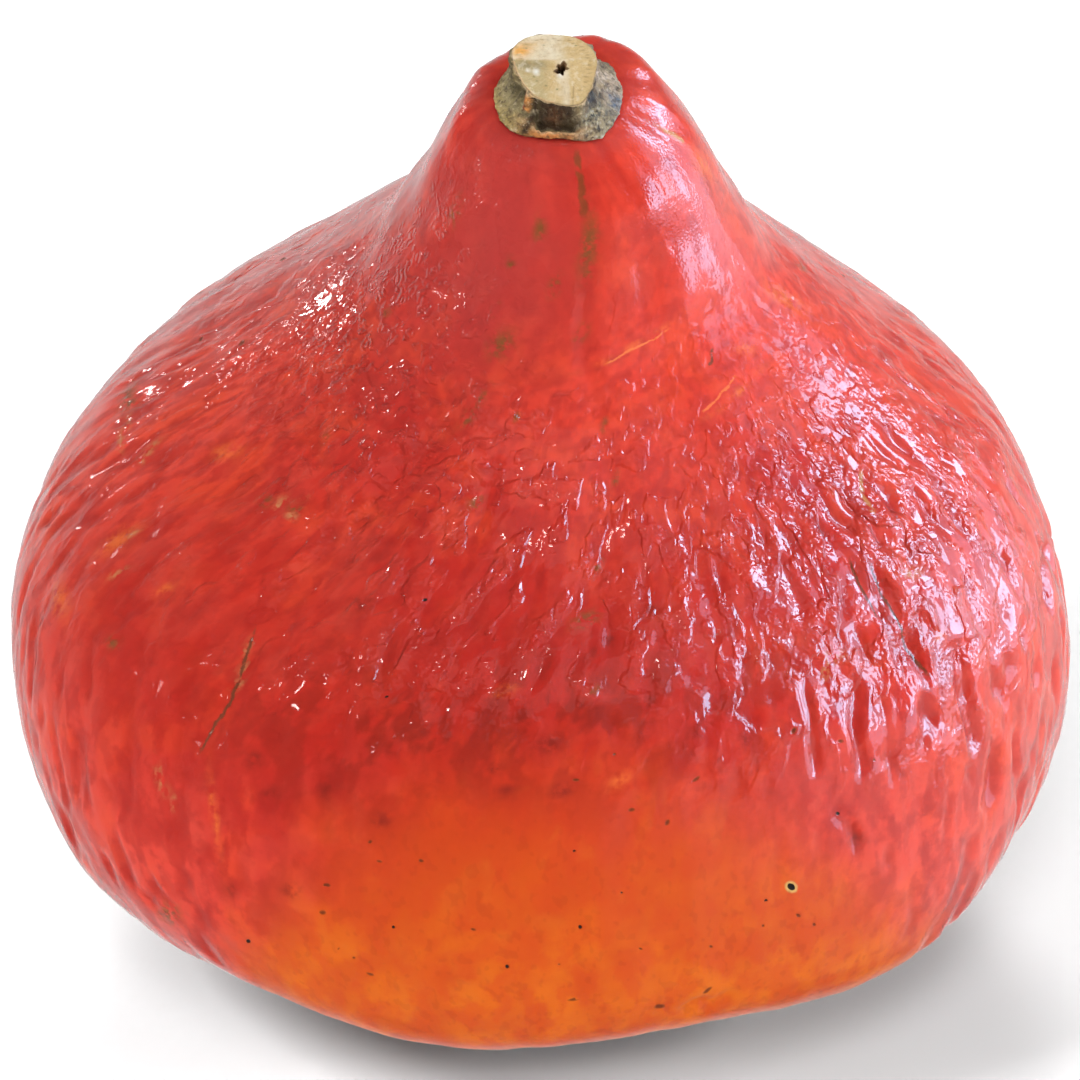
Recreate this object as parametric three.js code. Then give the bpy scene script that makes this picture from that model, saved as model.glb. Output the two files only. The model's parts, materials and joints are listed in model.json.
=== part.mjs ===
// Red kuri squash: one grown fruit with its cut stem stub.
// Millimetres, +Z up. The fruit rests on a flat ring round its blossom end at z = 0, with the
// neck leaning towards -Y, and the origin lies at the bottom centre of its bounding box.
import * as THREE from "three";

// ---------------------------------------------------------------- driving dimensions (mm)
// Meridian of the fruit as [radius, height along the curved axis], from the outer edge of the
// resting ring, over the belly (widest at 50 mm), up the concave shoulder and neck to the stem seat.
const MERIDIAN = [
  [29.73, 0.0], [33.69, 0.24], [38.15, 1.08], [44.59, 3.37], [52.52, 7.93], [64.02, 14.87],
  [77.0, 24.77], [82.45, 37.66], [83.44, 51.53], [81.56, 65.41], [76.9, 77.3], [69.27, 87.21],
  [57.28, 96.13], [46.28, 104.05], [37.46, 110.99], [31.12, 116.94], [27.65, 122.88],
  [24.18, 128.83], [21.5, 134.78], [19.03, 139.93], [16.45, 143.99], [13.08, 147.26], [9.6, 149.15],
];
// Blossom end: a shallow hollow inside the flat resting ring, as [radius, height].
const BLOSSOM_HOLLOW = [
  [0, 2.1], [4.5, 1.95], [9, 1.25], [13.2, 0.35], [17, 0],
];
// Sideways drift of the axis, as [height along the axis, x].
const AXIS_DRIFT = [
  [0, 3.27], [19.82, 2.48], [49.55, -0.5], [79.28, -1.49], [104.05, 1.98], [123.88, 3.47],
  [138.74, 4.16], [150.63, 4.16],
];
const NECK_LEAN_DEG = 23.25; // lean of the neck's end towards -Y
const BEND_FROM = 64.5; // height on the axis where the lean starts
const BEND_TO = 150.32; // and where it would be complete
const CENTRE_X = -0.62; // brings the bounding box to the origin
const CENTRE_Y = -0.84;
// Uneven growth of the whole body: [waves round the girth, cosine mm, sine mm].
const BODY_LOBES = [
  [2, -1.39, 1.08], [3, 1.39, -1.03], [4, 0.3, -0.37],
];
// Swellings and hollows low on the front, each LOW_WIDTH_DEG wide: [angle from +X in degrees, mm].
const LOW_SWELLS = [
  [195, 0.46], [215, 0.57], [235, -2.56], [252, 1.04], [268, 0.59], [284, -2.91], [300, -0.28],
  [318, 1.33], [338, -4.9],
];
const LOW_WIDTH_DEG = 13;
const SEAT_SHIFT_X = -1.85; // the stem sits a little off the neck's centre
const SEAT_SHIFT_BACK = 0.7;
const SEAT_SHIFT_FROM = 141; // height on the axis where the rim starts to follow the stem
const SEAT_RADIUS = 9.6;
const SEAT_HEIGHT = 149.15;

const STEM_GAP = 0.3; // clearance between the stem stub and its seat
const STEM_HEIGHT = 6.9; // from the seat to the ridge of the cut
// Outline of the stub every 22.5 degrees from +X: where it spreads on the fruit, and at the cut.
const STEM_BASE = [9.3, 9.25, 9.3, 9.0, 8.7, 8.6, 8.45, 8.6, 9.1, 9.1, 9.2, 8.7, 8.4, 9.3, 9.7, 9.35];
const STEM_CUT = [5.7, 5.75, 6.0, 6.35, 6.4, 7.0, 7.4, 7.2, 6.45, 6.1, 6.3, 6.7, 6.95, 7.7, 6.6, 5.75];
const CUT_RIDGE = 0.5; // the cut has two facets that meet on this line across the stub
const CUT_FALL_BACK = 0.1; // fall of the rear facet, mm per mm
const CUT_FALL_FRONT = 0.16; // fall of the front facet
const PITH_AT = [0.3, -0.5]; // centre of the small pith hole in the cut
const PITH_RADIUS = 1.35;
const PITH_DEPTH = 2.9;

const ROUND = 72; // steps round the fruit
const STEM_ROUND = 36; // steps round the stem

// ---------------------------------------------------------------- curves
// Natural cubic spline through (x, y), evaluated at xx.
function spline(x, y) {
  const n = x.length;
  const h = x.slice(1).map((v, i) => v - x[i]);
  const m = new Array(n).fill(0), c = new Array(n).fill(0), d = new Array(n).fill(0);
  for (let i = 1; i < n - 1; i++) {
    const b = 2 * (h[i - 1] + h[i]) - h[i - 1] * c[i - 1];
    c[i] = h[i] / b;
    d[i] = (6 * ((y[i + 1] - y[i]) / h[i] - (y[i] - y[i - 1]) / h[i - 1]) - h[i - 1] * d[i - 1]) / b;
  }
  for (let i = n - 2; i > 0; i--) m[i] = d[i] - c[i] * m[i + 1];
  return (v) => {
    let i = 0;
    while (i < n - 2 && v > x[i + 1]) i++;
    const t = v - x[i], u = x[i + 1] - v, w = h[i];
    return (m[i] * u ** 3 + m[i + 1] * t ** 3) / (6 * w)
      + (y[i] / w - (m[i] * w) / 6) * u + (y[i + 1] / w - (m[i + 1] * w) / 6) * t;
  };
}

const clamp01 = (v) => Math.min(1, Math.max(0, v));
const smooth = (v) => { const t = clamp01(v); return t * t * (3 - 2 * t); };
const mix = (a, b, t) => a + (b - a) * t;

const drift = spline(AXIS_DRIFT.map((p) => p[0]), AXIS_DRIFT.map((p) => p[1]));
const LEAN = THREE.MathUtils.degToRad(NECK_LEAN_DEG);
const leanAt = (h) => LEAN * smooth((h - BEND_FROM) / (BEND_TO - BEND_FROM));

// The axis of the fruit: straight up through the belly, then bending towards -Y.
const AXIS_STEPS = 588;
const axisTable = [[0, 0]];
for (let i = 1; i <= AXIS_STEPS; i++) {
  const dh = BEND_TO / AXIS_STEPS;
  const lean = leanAt((i - 0.5) * dh);
  const [y, z] = axisTable[i - 1];
  axisTable.push([y - Math.sin(lean) * dh, z + Math.cos(lean) * dh]);
}
function axisAt(h) {
  const f = clamp01(h / BEND_TO) * AXIS_STEPS;
  const i = Math.min(AXIS_STEPS - 1, Math.floor(f));
  const [ay, az] = axisTable[i], [by, bz] = axisTable[i + 1];
  return [mix(ay, by, f - i), mix(az, bz, f - i)];
}

const waves = (psi) =>
  BODY_LOBES.reduce((sum, [k, a, b]) => sum + a * Math.cos(k * psi) + b * Math.sin(k * psi), 0);
const swells = (psi) =>
  LOW_SWELLS.reduce((sum, [at, mm]) => {
    const turn = THREE.MathUtils.euclideanModulo(THREE.MathUtils.radToDeg(psi) - at + 180, 360) - 180;
    return sum + mm * Math.exp(-0.5 * (turn / LOW_WIDTH_DEG) ** 2);
  }, 0);

// A point of the fruit: radius r on the section at axis height h, at angle psi from +X.
function fruitPoint(r, h, psi) {
  const g = h / 0.991;
  const inner = clamp01(r / 29);
  const low = inner * smooth(g / 20) * clamp01(1 - (g - 20) / 55) ** 1.5;
  const body = inner * clamp01(g / 50) * clamp01((145 - g) / 40);
  const rr = r + low * swells(psi) + body * waves(psi);
  const [ay, az] = axisAt(h);
  const lean = leanAt(h);
  const follow = smooth((h - SEAT_SHIFT_FROM) / (SEAT_HEIGHT - SEAT_SHIFT_FROM));
  const across = rr * Math.sin(psi) + follow * SEAT_SHIFT_BACK;
  return [
    CENTRE_X + drift(h) + follow * SEAT_SHIFT_X + rr * Math.cos(psi),
    CENTRE_Y + ay + across * Math.cos(lean),
    az + across * Math.sin(lean),
  ];
}

// ---------------------------------------------------------------- solids
// A lathe of the nominal [radius, height] rows whose points are then set one by one.
// The lathe turns about its own Y, so its x, y, z are the object's Y, Z, X.
function sculpt(rows, round, place) {
  const lathe = new THREE.LatheGeometry(rows.map(([r, h]) => new THREE.Vector2(r, h)), round);
  const at = lathe.getAttribute("position");
  for (let i = 0; i <= round; i++)
    for (let j = 0; j < rows.length; j++)
      at.setXYZ(i * rows.length + j, ...place(rows[j], j, ((i % round) / round) * Math.PI * 2));
  lathe.computeVertexNormals();
  return lathe;
}

// Rows of the fruit: blossom hollow, resting ring, belly, neck, stem seat.
const along = [0];
for (let i = 1; i < MERIDIAN.length; i++)
  along.push(along[i - 1] + Math.hypot(MERIDIAN[i][0] - MERIDIAN[i - 1][0], MERIDIAN[i][1] - MERIDIAN[i - 1][1]));
const radiusAlong = spline(along, MERIDIAN.map((p) => p[0]));
const heightAlong = spline(along, MERIDIAN.map((p) => p[1]));
const total = along[along.length - 1];
const BELLY_ROWS = 34;
const fruitRows = BLOSSOM_HOLLOW.map(([r, h]) => [r, h]);
for (let i = 0; i <= BELLY_ROWS; i++) {
  const s = (total * i) / BELLY_ROWS;
  fruitRows.push([radiusAlong(s), i === 0 ? 0 : heightAlong(s)]);
}
fruitRows[fruitRows.length - 1] = [SEAT_RADIUS, SEAT_HEIGHT];
fruitRows.push([0, SEAT_HEIGHT]);

const fruit = new THREE.Mesh(
  sculpt(fruitRows, ROUND, ([r, h], j, psi) => fruitPoint(r, h, psi)),
  new THREE.MeshStandardMaterial({ color: 0xd0402a, roughness: 0.32, metalness: 0 }),
);
fruit.name = "fruit";

// Stem stub, made in its own frame: x as the fruit's, y towards the back, z along the stub.
const outline = (table, psi) => {
  const n = table.length, f = (psi / (Math.PI * 2)) * n, i = Math.floor(f), t = f - i;
  const [a, b, c, d] = [-1, 0, 1, 2].map((k) => table[(i + k + n) % n]);
  return b + 0.5 * t * (c - a + t * (2 * a - 5 * b + 4 * c - d + t * (3 * (b - c) + d - a)));
};
const cutHeight = (x, y) =>
  STEM_HEIGHT - CUT_FALL_BACK * Math.max(0, y - CUT_RIDGE) - CUT_FALL_FRONT * Math.max(0, CUT_RIDGE - y);
// k: share of the outline, blend: from base outline to cut outline, z: height above the seat,
// drop: depth below the cut, pith: radius round the pith hole
const stemRows = [
  { k: 0, z: STEM_GAP },
  { k: 0.5, blend: 0, z: STEM_GAP },
  { k: 0.97, blend: 0, z: STEM_GAP },
  { k: 1, blend: 0, z: 0.8 },
  { k: 1, blend: 0.4, z: 1.6 },
  { k: 1, blend: 0.78, z: 2.7 },
  { k: 1.01, blend: 1, z: 4.1 },
  { k: 1, blend: 1, drop: 0.45 },
  { k: 0.95, blend: 1, drop: 0 },
  { k: 0.6, blend: 1, drop: 0 },
  { pith: PITH_RADIUS, drop: 0 },
  { pith: 0.85, drop: 1.5 },
  { pith: 0.5, drop: 2.6 },
  { pith: 0, drop: PITH_DEPTH },
];
const stem = new THREE.Mesh(
  sculpt(stemRows.map((row, j) => [row.k === 0 || row.pith === 0 ? 0 : 5, j]), STEM_ROUND, (_, j, psi) => {
    const row = stemRows[j];
    const r = row.pith !== undefined
      ? row.pith * (1 + 0.12 * Math.cos(5 * psi))
      : row.k * mix(outline(STEM_BASE, psi), outline(STEM_CUT, psi), row.blend ?? 0);
    const [cx, cy] = row.pith !== undefined ? PITH_AT : [0, 0];
    const x = cx + r * Math.cos(psi), y = cy + r * Math.sin(psi);
    return [x, y, row.z ?? cutHeight(x, y) - row.drop];
  }),
  new THREE.MeshStandardMaterial({ color: 0xb59c6c, roughness: 0.8, metalness: 0 }),
);
stem.name = "stem";

// The stub stands square on the seat, which leans with the end of the neck.
const [seatX, seatY, seatZ] = fruitPoint(0, SEAT_HEIGHT, 0);
const stemFrame = new THREE.Group();
stemFrame.position.set(seatX, seatY, seatZ);
stemFrame.rotation.x = leanAt(SEAT_HEIGHT);
stemFrame.add(stem);

const squash = new THREE.Group();
squash.add(fruit, stemFrame);
export default squash;
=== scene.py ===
# Red kuri squash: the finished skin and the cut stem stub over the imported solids, with a pale
# floor, soft studio light and the camera. Metres in the scene; the tables below are millimetres.
import json
import math
import bpy
import numpy as np
from mathutils import Matrix, Vector

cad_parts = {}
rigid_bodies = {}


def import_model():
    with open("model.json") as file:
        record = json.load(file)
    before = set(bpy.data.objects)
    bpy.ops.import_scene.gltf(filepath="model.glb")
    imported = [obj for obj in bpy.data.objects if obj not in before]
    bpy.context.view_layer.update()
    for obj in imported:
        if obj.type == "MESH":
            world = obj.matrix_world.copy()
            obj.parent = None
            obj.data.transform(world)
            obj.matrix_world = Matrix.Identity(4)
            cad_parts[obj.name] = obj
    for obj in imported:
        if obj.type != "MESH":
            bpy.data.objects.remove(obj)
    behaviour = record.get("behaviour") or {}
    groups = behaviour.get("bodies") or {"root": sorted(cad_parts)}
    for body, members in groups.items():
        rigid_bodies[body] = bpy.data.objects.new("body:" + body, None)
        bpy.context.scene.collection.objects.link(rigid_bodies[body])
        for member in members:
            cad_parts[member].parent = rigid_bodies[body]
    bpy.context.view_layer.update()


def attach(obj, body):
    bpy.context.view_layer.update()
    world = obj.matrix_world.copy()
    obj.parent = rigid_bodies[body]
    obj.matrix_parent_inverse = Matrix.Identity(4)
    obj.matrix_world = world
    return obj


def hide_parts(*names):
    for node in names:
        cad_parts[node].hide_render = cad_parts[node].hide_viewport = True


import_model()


# ------------------------------------------------------------------ curves and noise
def spline(xs, ys, x):
    """Natural cubic spline through (xs, ys) at x."""
    xs, ys, x = np.asarray(xs, float), np.asarray(ys, float), np.asarray(x, float)
    n, h = len(xs), np.diff(xs)
    A, b = np.eye(n), np.zeros(n)
    for i in range(1, n - 1):
        A[i, i - 1:i + 2] = h[i - 1], 2 * (h[i - 1] + h[i]), h[i]
        b[i] = 6 * ((ys[i + 1] - ys[i]) / h[i] - (ys[i] - ys[i - 1]) / h[i - 1])
    m = np.linalg.solve(A, b)
    i = np.clip(np.searchsorted(xs, x, side="right") - 1, 0, n - 2)
    t, u, w = x - xs[i], xs[i + 1] - x, h[i]
    return ((m[i] * u ** 3 + m[i + 1] * t ** 3) / (6 * w)
            + (ys[i] / w - m[i] * w / 6) * u + (ys[i + 1] / w - m[i + 1] * w / 6) * t)


def smooth(v):
    t = np.clip(v, 0, 1)
    return t * t * (3 - 2 * t)


def ramp(v, a, b):
    """0 at a, 1 at b, eased."""
    return smooth((np.asarray(v, float) - a) / (b - a))


def bell(v, c, w):
    return np.exp(-0.5 * ((np.asarray(v, float) - c) / w) ** 2)


def turn(psi, c):
    """psi - c in degrees, from -180 to 180."""
    return (psi - c + 180) % 360 - 180


def perlin(p, seed):
    """Gradient noise of points p (..., 3), about -1 to 1."""
    rs = np.random.RandomState(seed)
    perm = rs.permutation(256)
    grad = rs.normal(size=(256, 3))
    grad /= np.linalg.norm(grad, axis=1, keepdims=True)
    base = np.floor(p).astype(int)
    f = p - base
    u = f * f * f * (f * (f * 6 - 15) + 10)
    out = 0.0
    for dx in (0, 1):
        for dy in (0, 1):
            for dz in (0, 1):
                k = perm[(base[..., 0] + dx) & 255]
                k = perm[(k + base[..., 1] + dy) & 255]
                k = perm[(k + base[..., 2] + dz) & 255]
                d = f - np.array([dx, dy, dz])
                w = (np.where(dx, u[..., 0], 1 - u[..., 0]) * np.where(dy, u[..., 1], 1 - u[..., 1])
                     * np.where(dz, u[..., 2], 1 - u[..., 2]))
                out = out + w * (grad[k] * d).sum(-1)
    return 1.6 * out


def fbm(p, seed, octaves=3, gain=0.5):
    total, amp, norm = 0.0, 1.0, 0.0
    for o in range(octaves):
        total = total + amp * perlin(p * 2 ** o, seed + 17 * o)
        norm += amp
        amp *= gain
    return total / norm


# ------------------------------------------------------------------ the fruit's own surface
MERIDIAN = [
    (29.73, 0.0), (33.69, 0.24), (38.15, 1.08), (44.59, 3.37), (52.52, 7.93), (64.02, 14.87),
    (77.0, 24.77), (82.45, 37.66), (83.44, 51.53), (81.56, 65.41), (76.9, 77.3), (69.27, 87.21),
    (57.28, 96.13), (46.28, 104.05), (37.46, 110.99), (31.12, 116.94), (27.65, 122.88),
    (24.18, 128.83), (21.5, 134.78), (19.03, 139.93), (16.45, 143.99), (13.08, 147.26), (9.6, 149.15)]
HOLLOW = [(0, 2.1), (4.5, 1.95), (9, 1.25), (13.2, 0.35), (17, 0), (29.73, 0)]
DRIFT = [(0, 3.27), (19.82, 2.48), (49.55, -.5), (79.28, -1.49), (104.05, 1.98), (123.88, 3.47),
         (138.74, 4.16), (150.63, 4.16)]
LEAN, BEND_FROM, BEND_TO = math.radians(23.25), 64.5, 150.32
CX0, CY0 = -0.62, -0.84
LOBES = [(2, -1.39, 1.08), (3, 1.39, -1.03), (4, .3, -.37)]
SWELLS = [(195, .46), (215, .57), (235, -2.56), (252, 1.04), (268, .59), (284, -2.91), (300, -.28),
          (318, 1.33), (338, -4.9)]
SEAT_R, SEAT_H = 9.6, 149.15

_r, _h = np.array(MERIDIAN).T
ALONG = np.concatenate([[0], np.cumsum(np.hypot(np.diff(_r), np.diff(_h)))])
TOTAL = ALONG[-1]
_g = np.linspace(0, BEND_TO, 600)
_th = LEAN * smooth((_g - BEND_FROM) / (BEND_TO - BEND_FROM))
_tm, _d = (_th[1:] + _th[:-1]) / 2, np.diff(_g)
_cy = np.concatenate([[0], np.cumsum(-np.sin(_tm) * _d)])
_cz = np.concatenate([[0], np.cumsum(np.cos(_tm) * _d)])


def surface(r, h, psi):
    """The grown shape at section radius r, axis height h and angle psi (radians), in mm."""
    r, h, psi = np.broadcast_arrays(r, h, psi)
    g = h / 0.991
    inner = np.clip(r / 29, 0, 1)
    low = inner * smooth(g / 20) * np.clip(1 - (g - 20) / 55, 0, 1) ** 1.5
    body = inner * np.clip(g / 50, 0, 1) * np.clip((145 - g) / 40, 0, 1)
    f = sum(a * np.exp(-.5 * (turn(np.degrees(psi), c) / 13) ** 2) for c, a in SWELLS)
    b = sum(c * np.cos(k * psi) + s * np.sin(k * psi) for k, c, s in LOBES)
    rr = r + low * f + body * b
    th = LEAN * smooth((h - BEND_FROM) / (BEND_TO - BEND_FROM))
    follow = smooth((h - 141) / (SEAT_H - 141))
    ac = rr * np.sin(psi) + follow * 0.7
    cx = spline(*np.array(DRIFT).T, h)
    return np.stack([CX0 + cx - follow * 1.85 + rr * np.cos(psi),
                     CY0 + np.interp(h, _g, _cy) + ac * np.cos(th),
                     np.interp(h, _g, _cz) + ac * np.sin(th)], -1)


# Columns: closer together over the front, which faces -Y. Rows: blossom hollow, belly, neck, seat.
NF, NB = 376, 146
FRONT_A, FRONT_B = 171.0, 369.0
psi_deg = np.concatenate([np.linspace(FRONT_A, FRONT_B, NF, endpoint=False),
                          np.linspace(FRONT_B, FRONT_A + 360, NB, endpoint=False)])
NC = NF + NB
hollow_r = np.array([2.5, 5.5, 8.5, 11.5, 14.5, 17.5, 21, 25.5])
s_rows = np.concatenate([np.arange(0, 26, 2.3), np.arange(26, TOTAL - 0.4, 1.12), [TOTAL]])
seat_r = np.array([8.6, 6.0, 3.0])
row_r = np.concatenate([hollow_r, np.interp(s_rows, ALONG, _r) * 0 + spline(ALONG, _r, s_rows), seat_r])
row_h = np.concatenate([spline(*np.array(HOLLOW).T, hollow_r) * (hollow_r < 17), spline(ALONG, _h, s_rows),
                        np.full(3, SEAT_H)])
row_h[len(hollow_r)] = 0.0
row_r[len(hollow_r) + len(s_rows) - 1], row_h[len(hollow_r) + len(s_rows) - 1] = SEAT_R, SEAT_H
row_s = np.concatenate([hollow_r - 29.73, s_rows, TOTAL + (SEAT_R - seat_r)])
NR = len(row_r)
PSI = np.radians(psi_deg)
PD, SS = np.meshgrid(psi_deg % 360, row_s)
P0 = surface(row_r[:, None], row_h[:, None], PSI[None, :])


def normals_of(P):
    du = np.roll(P, -1, 1) - np.roll(P, 1, 1)
    dv = np.gradient(P, axis=0)
    n = np.cross(du, dv)
    return n / (np.linalg.norm(n, axis=-1, keepdims=True) + 1e-12)


N0 = normals_of(P0)
RR = np.broadcast_to(row_r[:, None], PD.shape)
# A drawing-board copy of the skin: round at 85 mm up to the shoulder, then at its own radius.
_own = ramp(SS, 138, 182)
_flat_r = 85.0 * (1 - _own) + RR * _own
MER = np.stack([_flat_r * np.cos(np.radians(PD)), _flat_r * np.sin(np.radians(PD)), SS], -1)

# Marks in the skin as (kind, psi, s, half length, half width, slant): psi in degrees from +X,
# s in mm up the meridian from the resting ring. Kinds: 0 black dot, 1 brown speck, 2 olive stain,
# 3 maroon stain, 4 tan scar, 5 orange stain, 6 corky ring, 7 grey stain.
MARKS = [
    (0,253.8,134.5,0.44,0.38,-128), (0,254.0,116.5,0.40,0.29,-146), (0,239.5,69.8,0.74,0.37,-133), (0,256.2,79.1,0.39,0.29,-113), (0,268.0,82.6,0.37,0.34,78), (0,266.5,72.8,0.52,0.36,88),
    (0,268.2,87.1,0.31,0.20,120), (0,303.0,88.0,0.52,0.36,143), (0,274.2,91.0,0.28,0.22,176), (0,274.0,78.8,0.41,0.31,100), (0,278.5,83.5,0.28,0.23,136), (0,254.2,158.7,0.37,0.29,-109),
    (0,293.5,77.6,0.43,0.38,85), (0,296.8,60.5,1.03,0.48,114), (1,296.8,60.5,1.04,0.64,126), (1,256.0,73.1,0.93,0.59,121), (1,255.0,75.2,0.53,0.37,142), (1,252.8,69.5,0.79,0.49,166),
    (1,254.5,71.9,0.45,0.42,91), (1,257.0,72.8,0.45,0.33,-143), (1,263.8,79.4,0.57,0.36,165), (1,259.2,63.2,0.61,0.41,-132), (1,258.2,61.1,0.57,0.41,-149), (1,259.8,61.4,0.53,0.39,-164),
    (1,249.3,79.7,0.77,0.52,-160), (1,250.2,73.4,0.49,0.37,55), (1,251.5,72.2,0.42,0.30,54), (1,272.5,65.3,1.56,0.49,-172), (1,274.5,68.0,0.61,0.30,151), (1,299.0,103.0,0.96,0.62,-142),
    (1,308.2,94.3,0.40,0.34,135), (1,300.0,93.1,0.63,0.46,126), (1,274.8,101.8,0.70,0.32,170), (1,278.8,105.4,0.34,0.28,-135), (1,170.8,136.8,1.24,0.50,-176), (1,181.5,146.1,1.05,0.74,17),
    (1,210.5,173.1,1.07,0.70,-144), (1,245.5,183.3,0.92,0.60,-113), (1,246.8,190.8,0.92,0.63,125), (1,259.0,167.1,0.87,0.44,-102), (1,221.8,153.6,1.08,0.53,124), (1,7.8,161.7,1.55,0.90,148),
    (1,280.2,96.1,0.71,0.44,178), (1,283.8,93.4,0.67,0.47,-119), (1,287.2,99.1,0.96,0.43,-153), (1,287.2,71.6,0.45,0.29,129), (1,281.5,60.5,1.08,0.75,156), (1,288.8,72.2,0.42,0.24,114),
    (1,293.0,73.4,0.40,0.32,113), (1,286.8,62.6,1.24,0.50,-135), (1,300.2,92.2,0.55,0.46,162), (1,255.5,89.5,0.56,0.30,173), (1,250.0,84.4,0.77,0.41,-164), (1,254.7,92.2,0.46,0.38,-148),
    (1,304.2,99.1,0.75,0.43,154), (1,297.0,73.7,0.57,0.29,137), (1,298.8,71.3,0.44,0.30,129), (1,268.0,85.3,0.42,0.29,166), (1,271.5,72.5,0.33,0.25,131), (1,279.8,73.4,0.47,0.24,147),
    (1,259.5,90.1,0.42,0.30,170), (2,264.8,188.4,1.43,0.67,-102), (2,274.8,180.3,1.22,0.72,-121), (2,280.5,164.4,0.81,0.35,-121), (2,281.8,155.1,0.76,0.39,-116), (2,277.5,140.7,1.22,0.42,-115),
    (2,275.5,130.6,1.78,1.08,-154), (2,215.5,193.4,2.10,0.78,95), (2,215.8,191.6,0.77,0.52,-108), (2,220.0,109.0,1.05,0.79,16), (2,178.2,125.8,3.94,0.97,179), (2,180.5,126.7,2.18,0.73,-165),
    (2,277.8,194.6,3.91,1.04,-99), (2,277.0,189.9,1.26,0.68,-118), (2,256.2,197.0,1.48,0.73,-94), (2,227.5,142.5,1.06,0.68,-161), (2,222.2,140.7,0.91,0.76,-153), (2,248.5,168.3,2.44,0.54,-109),
    (2,248.0,165.9,1.15,0.57,-116), (2,250.5,178.2,1.84,1.28,-113), (2,228.2,67.4,3.32,1.29,-138), (2,276.8,117.1,1.05,0.39,-135), (2,255.5,153.0,1.09,0.76,94), (3,272.2,108.4,2.09,1.62,-159),
    (3,276.8,112.9,1.14,0.93,115), (3,275.5,114.4,1.16,0.79,-160), (3,266.5,104.5,1.27,1.02,-110), (3,259.2,111.1,1.36,0.65,-115), (3,265.2,114.1,1.29,0.99,85), (3,269.0,113.5,1.55,1.11,77),
    (3,246.2,131.8,1.85,1.26,-159), (3,242.5,101.5,1.36,1.12,108), (3,244.5,96.7,1.32,0.84,-162), (3,250.0,99.4,1.66,0.93,92), (3,239.5,79.4,1.30,0.85,-134), (3,276.0,123.7,1.75,0.72,-126),
    (3,284.3,130.3,1.64,0.96,61), (3,281.8,108.1,1.53,0.96,69), (3,278.5,126.1,1.43,0.76,64), (3,304.8,82.9,1.57,1.05,161), (3,283.0,113.8,1.84,0.89,67), (3,288.2,106.9,1.39,1.15,70),
    (3,293.3,103.6,1.35,1.02,68), (3,255.8,95.8,1.29,1.03,-168), (3,246.2,82.3,1.35,0.98,-155), (3,273.2,100.3,1.60,0.94,-176), (3,267.8,100.9,1.29,0.80,-165), (3,258.0,118.0,1.16,0.86,117),
    (4,231.3,93.4,1.64,0.45,112), (4,214.0,117.7,1.29,0.45,-120), (4,188.2,126.1,3.44,0.43,172), (4,196.2,130.6,1.28,0.60,100), (4,197.2,129.7,1.15,0.55,151), (4,235.8,119.2,1.61,0.29,104),
    (4,236.7,115.9,0.92,0.33,-94), (4,237.2,112.9,1.16,0.54,-93), (4,210.0,123.1,1.06,0.35,-106), (4,233.0,90.7,1.23,0.27,102), (4,348.0,201.5,2.16,0.35,103), (4,224.5,142.8,0.70,0.43,-172),
    (4,227.8,141.3,0.74,0.36,176), (4,224.5,141.3,0.55,0.30,-173), (4,227.0,144.3,0.55,0.31,-149), (5,208.2,141.0,2.25,1.07,-136), (5,348.5,166.5,3.32,1.43,110), (5,351.2,194.3,2.47,1.83,123),
    (5,238.2,91.0,4.53,0.42,98), (5,209.0,120.7,2.97,1.38,-102), (5,207.5,107.2,3.25,1.38,175), (4,321.8,119.8,1.50,0.64,161), (4,306.5,112.6,1.31,0.77,161), (4,305.0,110.8,0.86,0.64,-150),
    (5,321.5,107.5,0.92,0.73,159), (5,266.8,118.3,1.09,0.59,-174), (5,279.2,100.9,1.57,0.73,-154), (5,315.5,161.4,5.19,0.31,-170), (5,292.2,176.1,6.19,0.29,-167), (5,325.5,166.8,1.40,0.83,153),
    (5,221.8,120.7,1.30,0.61,-122), (6,296.5,78.8,1.25,0.92,133),
]
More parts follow.
